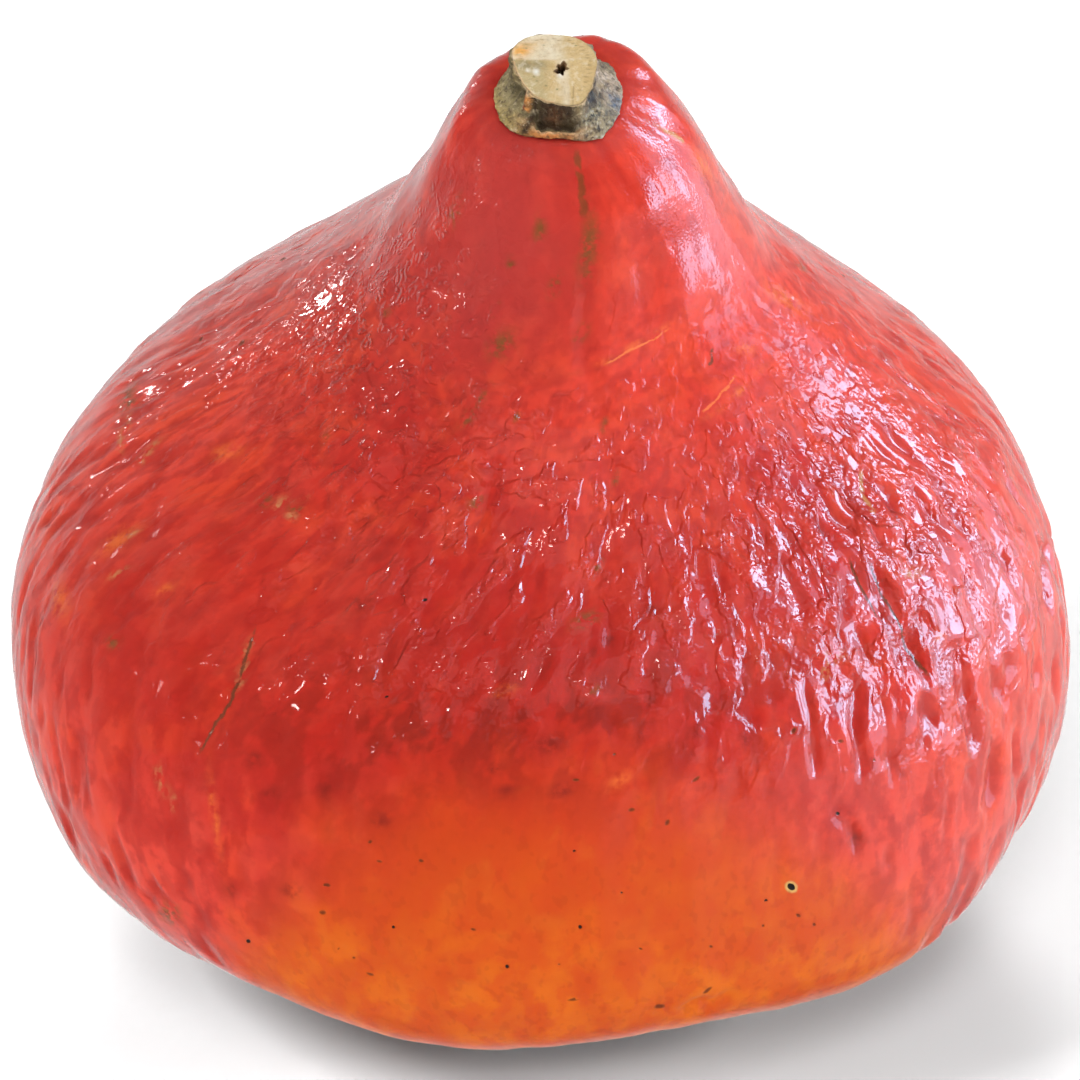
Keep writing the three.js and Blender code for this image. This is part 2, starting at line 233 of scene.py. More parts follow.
# Cracks, seams and scratches as (psi, s) points.
LINES = {
    'left_crack': [(234.8,124.0), (235.8,119.8), (236.7,115.3), (237.2,112.9), (237.5,109.0), (236.7,103.9), (235.8,98.8)],
    'seam': [(284.3,208.4), (282.2,206.0), (280.0,202.7), (276.5,198.8)],
    'crackA': [(314.8,127.6), (314.2,123.7), (314.0,120.1), (314.2,115.6)],
    'crackB': [(317.0,126.1), (316.8,120.1), (316.5,114.7), (317.0,108.7), (317.8,104.2), (318.2,102.1)],
    'crackC': [(327.8,112.6), (327.8,109.6), (328.2,106.0), (330.2,98.5)],
    'crackD': [(327.8,139.5), (324.2,135.7), (323.2,131.8)],
    'crackE': [(320.8,137.7), (319.5,133.0), (317.5,130.3)],
    'crackF': [(311.0,139.2), (311.5,136.8), (312.0,134.5)],
    'crackG': [(330.2,131.8), (328.2,127.6), (327.2,124.6)],
    'scr1': [(305.2,177.0), (299.0,176.1), (292.2,175.8), (281.0,174.3)],
    'scr2': [(318.8,164.1), (312.0,162.6), (304.8,161.1)],
    'dark1': [(316.2,169.8), (313.5,167.7)],
    'neckscr': [(346.0,203.3), (348.2,201.8), (349.8,199.7)],
    'leftvalley': [(249.3,180.6), (244.5,172.5), (241.0,162.6), (239.3,151.5), (237.5,138.9), (236.7,128.8), (236.5,120.4), (237.2,109.6), (235.5,99.1)],
    'seamlow': [(277.8,197.9), (277.0,189.9), (275.3,180.3), (279.2,163.8), (280.8,154.8), (277.8,141.0), (277.8,130.0), (277.2,115.3)],
    'notch': [(287.5,60.2), (285.5,59.3), (284.0,56.6)],
    'notch2': [(290.5,61.1), (287.8,58.7), (286.2,56.6)],
    'ridgeR': [(324.5,201.5), (316.2,194.6), (319.5,185.7), (318.5,178.5), (317.0,170.4), (311.8,157.8)],
    'vline': [(256.5,162.0),(257.0,157.0),(257.3,151.0),(257.0,144.5)],
    'valR': [(300.0,193.4), (300.0,182.7), (294.5,178.5)],
}
# Grooves pressed into the relief: line, depth, half width, eased share at each end.
GROOVES = [
    ("leftvalley", 1.7, 4.8, 0.25), ("left_crack", 0.45, 1.2, 0.15), ("seamlow", 0.45, 2.6, 0.2), ("seam", 0.5, 0.9, 0.2),
    ("crackA", 0.45, 1.1, 0.2), ("crackB", 0.55, 1.1, 0.15), ("crackC", 0.45, 1.3, 0.2), ("crackD", 0.4, 1.1, 0.2),
    ("crackE", 0.4, 1.1, 0.2), ("crackF", 0.35, 1.1, 0.2), ("crackG", 0.35, 1.1, 0.2), ("vline", 0.45, 1.3, 0.2),
    ("notch", 0.9, 1.3, 0.2), ("notch2", 0.7, 1.2, 0.2), ("valR", 0.5, 3.0, 0.3)]
# Lines that carry colour: name, code.
DRAWN = [
    ("left_crack", 0), ("crackA", 0), ("crackB", 0), ("crackD", 3), ("seam", 2),
    ("scr1", 1), ("scr2", 1), ("dark1", 0), ("neckscr", 3)]
# Single swellings (+) and dents (-): psi, s, half length, half width, slant, mm.
SHAPES = [
    (36, 205.5, 5.5, 4.0, 0, 1.5), (62, 205.0, 4.5, 4.0, 0, 1.0), (10, 204.0, 4.5, 4.0, 0, 0.5),
    (318, 182, 5, 9, 90, 0.6), (300, 190, 4, 9, 90, -0.4)]


def rad_at(s):
    return float(np.interp(s, row_s[:-3], row_r[:-3]))


def local(psi, s):
    """Distances east and up the meridian from (psi, s), in mm, for every vertex."""
    return math.radians(1) * turn(PD, psi) * rad_at(s), SS - s


def poly_distance(pts):
    """Signed distance to the polyline through (psi, s) points, and the share of its length."""
    best = np.full(PD.shape, 1e9)
    sign, share = np.zeros(PD.shape), np.zeros(PD.shape)
    p0, s0 = pts[len(pts) // 2]
    x, y = local(p0, s0)
    q = [(math.radians(1) * turn(p, p0) * rad_at(s0), s - s0) for p, s in pts]
    seg = [math.dist(a, b) for a, b in zip(q[:-1], q[1:])]
    length, run = sum(seg), 0.0
    for (ax, ay), (bx, by), L in zip(q[:-1], q[1:], seg):
        ex, ey = (bx - ax) / L, (by - ay) / L
        t = np.clip((x - ax) * ex + (y - ay) * ey, 0, L)
        dx, dy = x - ax - t * ex, y - ay - t * ey
        d = np.hypot(dx, dy)
        closer = d < best
        best = np.where(closer, d, best)
        sign = np.where(closer, np.sign(ex * dy - ey * dx), sign)
        share = np.where(closer, (run + t) / length, share)
        run += L
    return best, sign, share


# ---- zones of the skin, 0 to 1
dpat = turn(PD, 268)
top_edge = 102 - 44 * np.where(dpat < 0, np.abs(dpat / 33) ** 1.9, np.abs(dpat / 48) ** 2.0)
wob = 8 * fbm(MER / [16, 16, 30], 5, 3) + 4.0 * fbm(MER / [5, 5, 12], 6, 2)
z_orange = ramp(top_edge + wob - SS, -13, 15)
under = ramp(SS, 34, 6) * 0.8
z_orange = np.maximum(z_orange, under)
z_band = bell(SS + 0.8 * wob, 110, 10.5) * np.clip(bell(PD, 268, 21), 0, 1) * (1 - z_orange)
z_neck = ramp(SS, 172, 192)
z_rough = np.clip(
    0.80 * bell(turn(PD, 322), 0, 20) * bell(SS, 126, 21)
    + 0.65 * bell(turn(PD, 251), 0, 29) * bell(SS, 143, 23)
    + 0.3 * bell(turn(PD, 215), 0, 18) * bell(SS, 155, 14)
    + 0.5 * bell(turn(PD, 90), 0, 60) * bell(SS, 128, 26), 0, 1)
z_rough = np.clip(z_rough * (1 + 0.8 * fbm(MER / 16.0, 9, 2)), 0, 1)
z_spark = np.clip(bell(turn(PD, 217), 0, 24) * bell(SS, 171, 15)
                  + 0.25 * bell(turn(PD, 330), 0, 26) * bell(SS, 128, 22), 0, 1)

z_low = np.clip(bell(turn(PD, 322), 0, 27) * bell(SS, 92, 22) + 0.55 * bell(turn(PD, 212), 0, 22) * bell(SS, 84, 20)
                + 0.6 * bell(turn(PD, 90), 0, 60) * bell(SS, 90, 24), 0, 1) * (1 - z_orange)

# Brighter red on the upper part, on the +X side and round the back: painted light where the light falls, with some
# random spread.
z_lit_vivid = np.clip(ramp(SS, 146, 166) * ramp(turn(PD, 285), -52, -8) * ramp(turn(PD, 285), 150, 60)
                  + 0.85 * ramp(turn(PD, 300), 12, 42) * ramp(turn(PD, 300), 120, 60)
                  + 0.6 * bell(turn(PD, 90), 0, 50), 0, 1) * (1 - 0.7 * z_band)
z_lit_vivid = np.clip(z_lit_vivid + 0.35 * fbm(MER / 20.0, 51, 2), 0, 1)
# Paler red along both silhouettes of body and neck, which is painted rim light, and also in two low patches at the
# front.
z_pale_rimlit = np.clip(bell(turn(PD, 186), 0, 24) * ramp(SS, 46, 80) * ramp(SS, 176, 140) + 0.75 * bell(turn(PD, 356), 0, 15) * ramp(SS, 60, 90)
                 + 0.7 * bell(turn(PD, 186), 0, 26) * ramp(SS, 172, 194) + 0.8 * bell(turn(PD, 352), 0, 26) * ramp(SS, 168, 190)
                 + 0.9 * bell(turn(PD, 318), 0, 16) * bell(SS, 76, 13) + 0.8 * bell(turn(PD, 224), 0, 16) * bell(SS, 74, 20), 0, 1)
z_deep = np.clip(bell(turn(PD, 272), 0, 20) * bell(SS, 124, 16) + 0.8 * bell(turn(PD, 222), 0, 16) * bell(SS, 110, 18)
                 , 0, 1)
z_mauve = bell(turn(PD, 238), 0, 30) * bell(SS, 196, 18)

# ---- relief along the normal, in mm
z_matt = np.clip(bell(turn(PD, 322), 0, 25) * bell(SS, 167, 13) + 1.3 * bell(turn(PD, 227), 0, 15) * bell(SS, 101, 18)
    + 1.25 * bell(turn(PD, 207), 0, 16) * ramp(SS, 112, 124) * ramp(SS, 163, 149) + 0.7 * bell(turn(PD, 218), 0, 20) * ramp(SS, 186, 197), 0, 1)
k_body = ramp(SS, 8, 34) * ramp(SS, TOTAL + 0.5, TOTAL - 9)
flank = np.clip(0.30 * bell(turn(PD, 196), 0, 22) + bell(turn(PD, 345), 0, 22) + 0.6 * bell(turn(PD, 90), 0, 60), 0, 1)
quiet = 1 - 0.75 * np.clip(z_orange, 0, 1) * ramp(SS, 30, 60)
bodyw = ramp(RR, 36, 72)  # fades out where the columns crowd together on the neck
relief = 0.55 * fbm(P0 / 23.0, 21, 2) + 0.26 * fbm(P0 / 11.0, 22, 1)
folds = fbm(MER / [7.5, 7.5, 21.0] + 0.6 * fbm(MER / 17, 31, 2)[..., None], 23, 2)
z_fing = bell(turn(PD, 302), 0, 19) * bell(SS, 124, 22)
relief = relief + folds * (0.08 + 0.38 * flank + 0.42 * z_fing) * bodyw
shoulder = fbm(np.stack([16 * np.cos(np.radians(PD)), 16 * np.sin(np.radians(PD)), SS * 0.06], -1) / 2.5, 45, 2)
relief = relief + shoulder * 0.30 * bell(SS, 168, 17) * (0.45 + 0.55 * flank)
ribs_low = fbm(MER / [10.0, 10.0, 44.0], 46, 2)
knobs = fbm(MER / [5.4, 5.4, 8.5] + 0.5 * fbm(MER / 11, 32, 2)[..., None], 26, 2)
relief = relief + knobs * (0.17 + 0.14 * flank + 0.30 * z_rough) * bodyw
dent = np.clip(-fbm(MER / [3.8, 3.8, 7.6] + 0.4 * fbm(MER / 9, 33, 1)[..., None], 24, 1) - 0.12, 0, 1)
relief = relief - dent * (0.20 + 0.95 * z_rough + 1.35 * z_low + 0.45 * z_band + 0.5 * flank) * bodyw
pits = np.clip(-fbm(MER / [2.7, 2.7, 3.8] + 0.4 * fbm(MER / 6, 34, 1)[..., None], 25, 2) - 0.22, 0, 1)
relief = relief - pits * 1.3 * z_rough * ramp(fbm(MER / 12.0, 35, 2), -0.15, 0.25) * bodyw
relief = (relief * quiet + 0.34 * ribs_low * z_orange) * k_body

# Grown-in seams, cracks and folds.
for name, depth, width, taper in GROOVES:
    d, sg, sh = poly_distance(LINES[name])
    ends = ramp(sh, -0.001, taper) * ramp(sh, 1.001, 1 - taper)
    relief = relief - depth * np.exp(-(d / width) ** 2) * ends * k_body
for p, s, a, b, deg, mm in SHAPES:
    x, y = local(p, s)
    c, sn = math.cos(math.radians(deg)), math.sin(math.radians(deg))
    relief = relief + mm * np.exp(-((x * c + y * sn) / a) ** 2 - ((-x * sn + y * c) / b) ** 2)
# The neck is drawn into shallow furrows that run up to the stem.
around_neck = np.stack([9 * np.cos(np.radians(PD)), 9 * np.sin(np.radians(PD)), SS * 0.055], -1)
furrow = np.cos(np.radians(PD) * 10 + 1.6 * fbm(MER / 30.0, 41, 2)) * 0.35 + fbm(around_neck / 3.2, 42, 2) * 0.75 + fbm(around_neck / 1.3, 44, 2) * 0.22
relief = relief + 0.50 * (1 - 0.62 * bell(turn(PD, 316), 0, 26)) * furrow * ramp(SS, 176, 198) * ramp(SS, TOTAL + 1, TOTAL - 3)
# Skin lip round the stem.
relief = relief + 0.35 * bell(SS, TOTAL - 0.3, 1.1) * (0.6 + 0.5 * fbm(MER / [9, 9, 9], 43, 1))

P = P0 + N0 * relief[..., None]
flat = np.where(SS < 10, 1.0, 0.0) * (P[..., 2] < 0)
P[..., 2] = np.where(flat > 0, 0.0, P[..., 2])
P[..., 2] = np.maximum(P[..., 2], 0.0)


# ---- soft stains, then the small hard marks with their own local coordinates
def stain(kinds, grow=1.25, power=2.0):
    total = np.zeros(PD.shape)
    for kind, p, s, a, b, deg in MARKS:
        if kind not in kinds:
            continue
        x, y = local(p, s)
        c, sn = math.cos(math.radians(deg)), math.sin(math.radians(deg))
        q = np.hypot((x * c + y * sn) / (a * grow), (-x * sn + y * c) / (b * grow))
        total = np.maximum(total, np.exp(-q ** power))
    return total


BLACK, BROWN, OLIVE, MAROON, TAN, ORANGE, RING, GREY = range(8)


def decals(entries, reach=2.6):
    """Per vertex the nearest mark's own (x/a, y/b, code), and 1 where all neighbours share it."""
    ident = np.full(PD.shape, -1)
    best = np.full(PD.shape, 1e9)
    vec = np.zeros(PD.shape + (3,))
    for i, (code, p, s, a, b, deg) in enumerate(entries):
        x, y = local(p, s)
        c, sn = math.cos(math.radians(deg)), math.sin(math.radians(deg))
        u, v = x * c + y * sn, -x * sn + y * c
        d = np.hypot(np.maximum(np.abs(u) - a, 0), np.maximum(np.abs(v) - b, 0))
        near = (d < reach) & (d < best)
        best = np.where(near, d, best)
        ident = np.where(near, i, ident)
        vec = np.where(near[..., None], np.stack([u / a, v / b, np.full(PD.shape, float(code))], -1), vec)
    same = ident >= 0
    for ax, step in ((0, 1), (0, -1), (1, 1), (1, -1)):
        same &= np.roll(ident, step, ax) == ident
    return vec, same.astype(float)


rs = np.random.RandomState(11)
extra = []
for _ in range(230):  # the rest of the skin carries the same small specks
    p, s = rs.uniform(0, 360), rs.uniform(24, 150)
    if not 14 < p < 158:
        continue
    kind = BLACK if rs.rand() < 0.28 else BROWN
    size = rs.uniform(0.22, 0.4) if kind == BLACK else rs.uniform(0.3, 0.75)
    extra.append((kind, p, s, size * rs.uniform(1, 1.7), size * 0.75, rs.uniform(0, 180)))
hard = [(k, p, s, a * g, b * g, d) for k, p, s, a, b, d in MARKS
        for g in [{BLACK: 0.8, BROWN: 0.75, RING: 1.0}.get(k, 0)] if g and s < 150] + extra
hard += [(BROWN, 47, TOTAL - 7.2, 1.2, 2.4, 0), (BROWN, 58, TOTAL - 7.0, 0.8, 1.0, 0), (BLACK, 41, TOTAL - 6.8, 0.5, 0.8, 20)]
code_of = {BLACK: 0.0, BROWN: 1.0, RING: 2.0}
mk_vec, mk_w = decals([(code_of[m[0]],) + tuple(m[1:]) for m in hard])

ln_vec, ln_w = np.zeros(PD.shape + (3,)), np.zeros(PD.shape)
ln_best, ln_id = np.full(PD.shape, 1e9), np.full(PD.shape, -1)
for i, (name, code) in enumerate(DRAWN):
    d, sg, sh = poly_distance(LINES[name])
    near = (d < 2.6) & (d < ln_best)
    ln_best = np.where(near, d, ln_best)
    ln_id = np.where(near, i, ln_id)
    ln_vec = np.where(near[..., None], np.stack([d * np.where(sg == 0, 1, sg), sh, np.full(PD.shape, float(code))], -1), ln_vec)
same = ln_id >= 0
for ax, step in ((0, 1), (0, -1), (1, 1), (1, -1)):
    same &= np.roll(ln_id, step, ax) == ln_id
ln_w = same.astype(float)

soft_a = np.stack([stain({MAROON}, 1.15), np.maximum(stain({OLIVE}, 1.2), stain({BROWN}, 0.9) * (SS > 146)), stain({ORANGE}, 1.2)], -1)
# Its third channel is a ring round the stem's foot: painted shadow in the colour, and duller skin.
soft_b = np.stack([stain({TAN}, 1.3), stain({GREY}, 1.1), ramp(SS, TOTAL - 4.0, TOTAL - 0.8)], -1)


# ------------------------------------------------------------------ meshes
def grid_mesh(name, P, pole_a, pole_b, uvs=None):
    """A closed mesh of rows x columns with a pole at each end. P in mm; returns the object."""
    rows, cols = P.shape[:2]
    verts = np.concatenate([P.reshape(-1, 3), [pole_a], [pole_b]]) * 0.001
    i = np.arange(rows * cols).reshape(rows, cols)
    nxt = np.roll(i, -1, 1)
    quads = np.stack([i[:-1], nxt[:-1], nxt[1:], i[1:]], -1).reshape(-1, 4)
    a, b = rows * cols, rows * cols + 1
    tri_a = np.stack([nxt[0], i[0], np.full(cols, a)], -1)
    tri_b = np.stack([i[-1], nxt[-1], np.full(cols, b)], -1)
    loops = np.concatenate([quads.ravel(), tri_a.ravel(), tri_b.ravel()])
    sizes = np.concatenate([np.full(len(quads), 4), np.full(2 * cols, 3)])
    me = bpy.data.meshes.new(name)
    me.vertices.add(len(verts))
    me.vertices.foreach_set("co", verts.astype(np.float32).ravel())
    me.loops.add(len(loops))
    me.loops.foreach_set("vertex_index", loops.astype(np.int32))
    me.polygons.add(len(sizes))
    me.polygons.foreach_set("loop_start", np.concatenate([[0], np.cumsum(sizes)[:-1]]).astype(np.int32))
    me.polygons.foreach_set("use_smooth", np.ones(len(sizes), bool))
    me.update(calc_edges=True)
    me.validate()
    ob = bpy.data.objects.new(name, me)
    bpy.context.scene.collection.objects.link(ob)
    return ob, loops, quads, cols


def put(me, name, kind, values, pole_a=None, pole_b=None):
    """Stores a value per vertex (grid values, then the two poles take their ring's mean)."""
    width = 1 if kind == "FLOAT" else 3
    flat = values.reshape(-1, width)
    cols = values.shape[1]
    a = flat[:cols].mean(0) if pole_a is None else np.full(width, pole_a)
    b = flat[-cols:].mean(0) if pole_b is None else np.full(width, pole_b)
    data = np.concatenate([flat, [a], [b]]).astype(np.float32).ravel()
    at = me.attributes.new(name, kind, "POINT")
    at.data.foreach_set("value" if kind == "FLOAT" else "vector", data)


# Large patterns of the skin, one value per vertex, scaled to a spread of 1 about 0.
def pattern(p, seed, octaves):
    f = fbm(p, seed, octaves, 0.6)
    return (f - f.mean()) / f.std()


WARP = MER + 2.4 * np.stack([fbm(MER / 7.0, 101 + i, 2) for i in range(3)], -1)
p_cluster = pattern(WARP / [7.5, 7.5, 10.5], 111, 4)
p_bloom_sheen = pattern(WARP / [10, 10, 14], 112, 4)
p_patch = pattern(WARP / [5, 5, 9], 113, 3)
p_blot = pattern(WARP / [5.5, 5.5, 8.8], 114, 4)
p_goose = pattern(WARP / 4.2, 115, 3)
p_zig = pattern(WARP / [2.8, 2.8, 6.0], 116, 2)
p_big = pattern(P0 / 34.0, 117, 2)
p_mid = pattern(P0 / 9.0, 118, 3)

pole_a = surface(0.0, 2.1, 0.0)
pole_b = surface(0.0, SEAT_H, 0.0)
fruit, loops, quads, cols = grid_mesh("fruit_skin", P, pole_a, pole_b)
me = fruit.data
put(me, "mer", "FLOAT_VECTOR", MER)
put(me, "zone_a", "FLOAT_VECTOR", np.stack([z_orange, z_band, z_neck], -1))
put(me, "zone_b", "FLOAT_VECTOR", np.stack([z_rough, z_spark, flank], -1))
put(me, "zone_c", "FLOAT_VECTOR", np.stack([z_lit_vivid, z_pale_rimlit, z_deep], -1))
# Masks of painted shade: the dents, the pits and the bottoms of the neck furrows.
put(me, "zone_d", "FLOAT_VECTOR", np.stack([ramp(dent, 0.0, 0.35) * quiet, ramp(pits, 0.0, 0.25) * z_rough, ramp(furrow, 0.1, -0.6)], -1))
put(me, "matt", "FLOAT_VECTOR", np.stack([z_matt, z_mauve, 0 * z_matt], -1))
put(me, "pat_a", "FLOAT_VECTOR", np.stack([p_cluster, p_bloom_sheen, p_patch], -1))
put(me, "pat_b", "FLOAT_VECTOR", np.stack([p_blot, p_goose, p_zig], -1))
# Its third channel, the relief, paints a highlight on the rises.
put(me, "pat_c", "FLOAT_VECTOR", np.stack([p_big, p_mid, np.clip(relief / 1.2, -1, 1)], -1))
put(me, "soft_a", "FLOAT_VECTOR", soft_a)
put(me, "soft_b", "FLOAT_VECTOR", soft_b)
put(me, "mark", "FLOAT_VECTOR", mk_vec, 0, 0)
put(me, "mark_w", "FLOAT", mk_w[..., None], 0, 0)
put(me, "line", "FLOAT_VECTOR", ln_vec, 0, 0)
put(me, "line_w", "FLOAT", ln_w[..., None], 0, 0)

# Bake map: the front as one wide strip above, the back as another below.
lu = np.zeros((len(loops), 2))
vrow, vcol = loops // cols, loops % cols
nq = len(quads)
face_col = np.concatenate([np.repeat(np.tile(np.arange(cols), NR - 1), 4), np.repeat(np.arange(cols), 3), np.repeat(np.arange(cols), 3)])
is_front = face_col < NF
right = (vcol == (face_col + 1) % cols)
col_pos = face_col + right
pole = loops >= NR * cols
col_pos = np.where(pole, face_col + 0.5, col_pos)
srow = np.where(pole, np.where(loops == NR * cols, row_s[0] - 2.5, row_s[-1] + 3), row_s[np.minimum(vrow, NR - 1)])
v01 = (srow - (row_s[0] - 3)) / (row_s[-1] + 3.5 - (row_s[0] - 3))
uf = col_pos / NF
ub = (col_pos - NF) / NB
lu[:, 0] = np.where(is_front, 0.004 + 0.992 * uf, 0.004 + 0.992 * ub)
lu[:, 1] = np.where(is_front, 0.385 + 0.611 * v01, 0.004 + 0.371 * v01)
uv = me.uv_layers.new(name="OFBake")
uv.data.foreach_set("uv", lu.astype(np.float32).ravel())


# ------------------------------------------------------------------ node helpers
class Nodes:
    def __init__(self, name):
        self.mat = bpy.data.materials.new(name)
        self.mat.use_nodes = True
        self.t = self.mat.node_tree
        self.t.nodes.clear()

    def new(self, kind, **props):
        n = self.t.nodes.new(kind)
        for k, v in props.items():
            setattr(n, k, v)
        return n

    def put(self, socket, value):
        if value is None:
            return
        if isinstance(value, bpy.types.NodeSocket):
            self.t.links.new(value, socket)
        elif isinstance(value, (tuple, list)) and len(value) == 3 and socket.type == "RGBA":
            socket.default_value = (*value, 1.0)
        else:
            socket.default_value = value

    def math(self, op, a, b=None, c=None, clamp=False):
        n = self.new("ShaderNodeMath", operation=op, use_clamp=clamp)
        for i, v in enumerate((a, b, c)):
            self.put(n.inputs[i], v) if v is not None else None
        return n.outputs[0]

    def add(self, *vals):
        out = vals[0]
        for v in vals[1:]:
            out = self.math("ADD", out, v)
        return out

    def mul(self, *vals):
        out = vals[0]
        for v in vals[1:]:
            out = self.math("MULTIPLY", out, v)
        return out

    def range(self, v, a, b, lo=0.0, hi=1.0, kind="SMOOTHSTEP"):
        n = self.new("ShaderNodeMapRange", interpolation_type=kind)
        n.clamp = True if kind == "LINEAR" else n.clamp
        for i, x in enumerate((v, a, b, lo, hi)):
            self.put(n.inputs[i], x)
        return n.outputs[0]

    def mix(self, f, a, b, blend="MIX"):
        n = self.new("ShaderNodeMix", data_type="RGBA", blend_type=blend, clamp_factor=True)
        self.put(n.inputs[0], f)
        self.put(n.inputs[6], a)
        self.put(n.inputs[7], b)
        return n.outputs[2]

    def vec(self, op, a, b=None, scale=None):
        n = self.new("ShaderNodeVectorMath", operation=op)
        self.put(n.inputs[0], a)
        if b is not None:
            self.put(n.inputs[1], b)
        if scale is not None:
            self.put(n.inputs["Scale"], scale)
        return n.outputs["Value"] if op in ("LENGTH", "DOT_PRODUCT", "DISTANCE") else n.outputs["Vector"]

    def attr(self, name):
        return self.new("ShaderNodeAttribute", attribute_type="GEOMETRY", attribute_name=name)

    def xyz(self, v):
        n = self.new("ShaderNodeSeparateXYZ")
        self.put(n.inputs[0], v)
        return n.outputs

    def noise(self, vec, size, detail=2.0, rough=0.5, distortion=0.0, lac=2.0):
        """Noise from 0 to 1 with features of about size, in the unit of vec."""
        n = self.new("ShaderNodeTexNoise")
        self.put(n.inputs["Vector"], vec)
        n.inputs["Scale"].default_value = 1.0 / size
        n.inputs["Detail"].default_value = detail
        n.inputs["Roughness"].default_value = rough
        n.inputs["Lacunarity"].default_value = lac
        n.inputs["Distortion"].default_value = distortion
        return n.outputs["Fac"]

    def noise3(self, vec, size, detail=1.0):
        n = self.new("ShaderNodeTexNoise")
        self.put(n.inputs["Vector"], vec)
        n.inputs["Scale"].default_value = 1.0 / size
        n.inputs["Detail"].default_value = detail
        return n.outputs["Color"]

    def voronoi(self, vec, size, feature="F1", rand=1.0, out="Distance"):
        n = self.new("ShaderNodeTexVoronoi", feature=feature)
        self.put(n.inputs["Vector"], vec)
        n.inputs["Scale"].default_value = 1.0 / size
        n.inputs["Randomness"].default_value = rand
        return n.outputs[out]

    def bump(self, height, distance=0.001, strength=1.0, normal=None):
        n = self.new("ShaderNodeBump")
        n.inputs["Strength"].default_value = strength
        n.inputs["Distance"].default_value = distance
        self.put(n.inputs["Height"], height)
        if normal is not None:
            self.put(n.inputs["Normal"], normal)
        return n.outputs["Normal"]


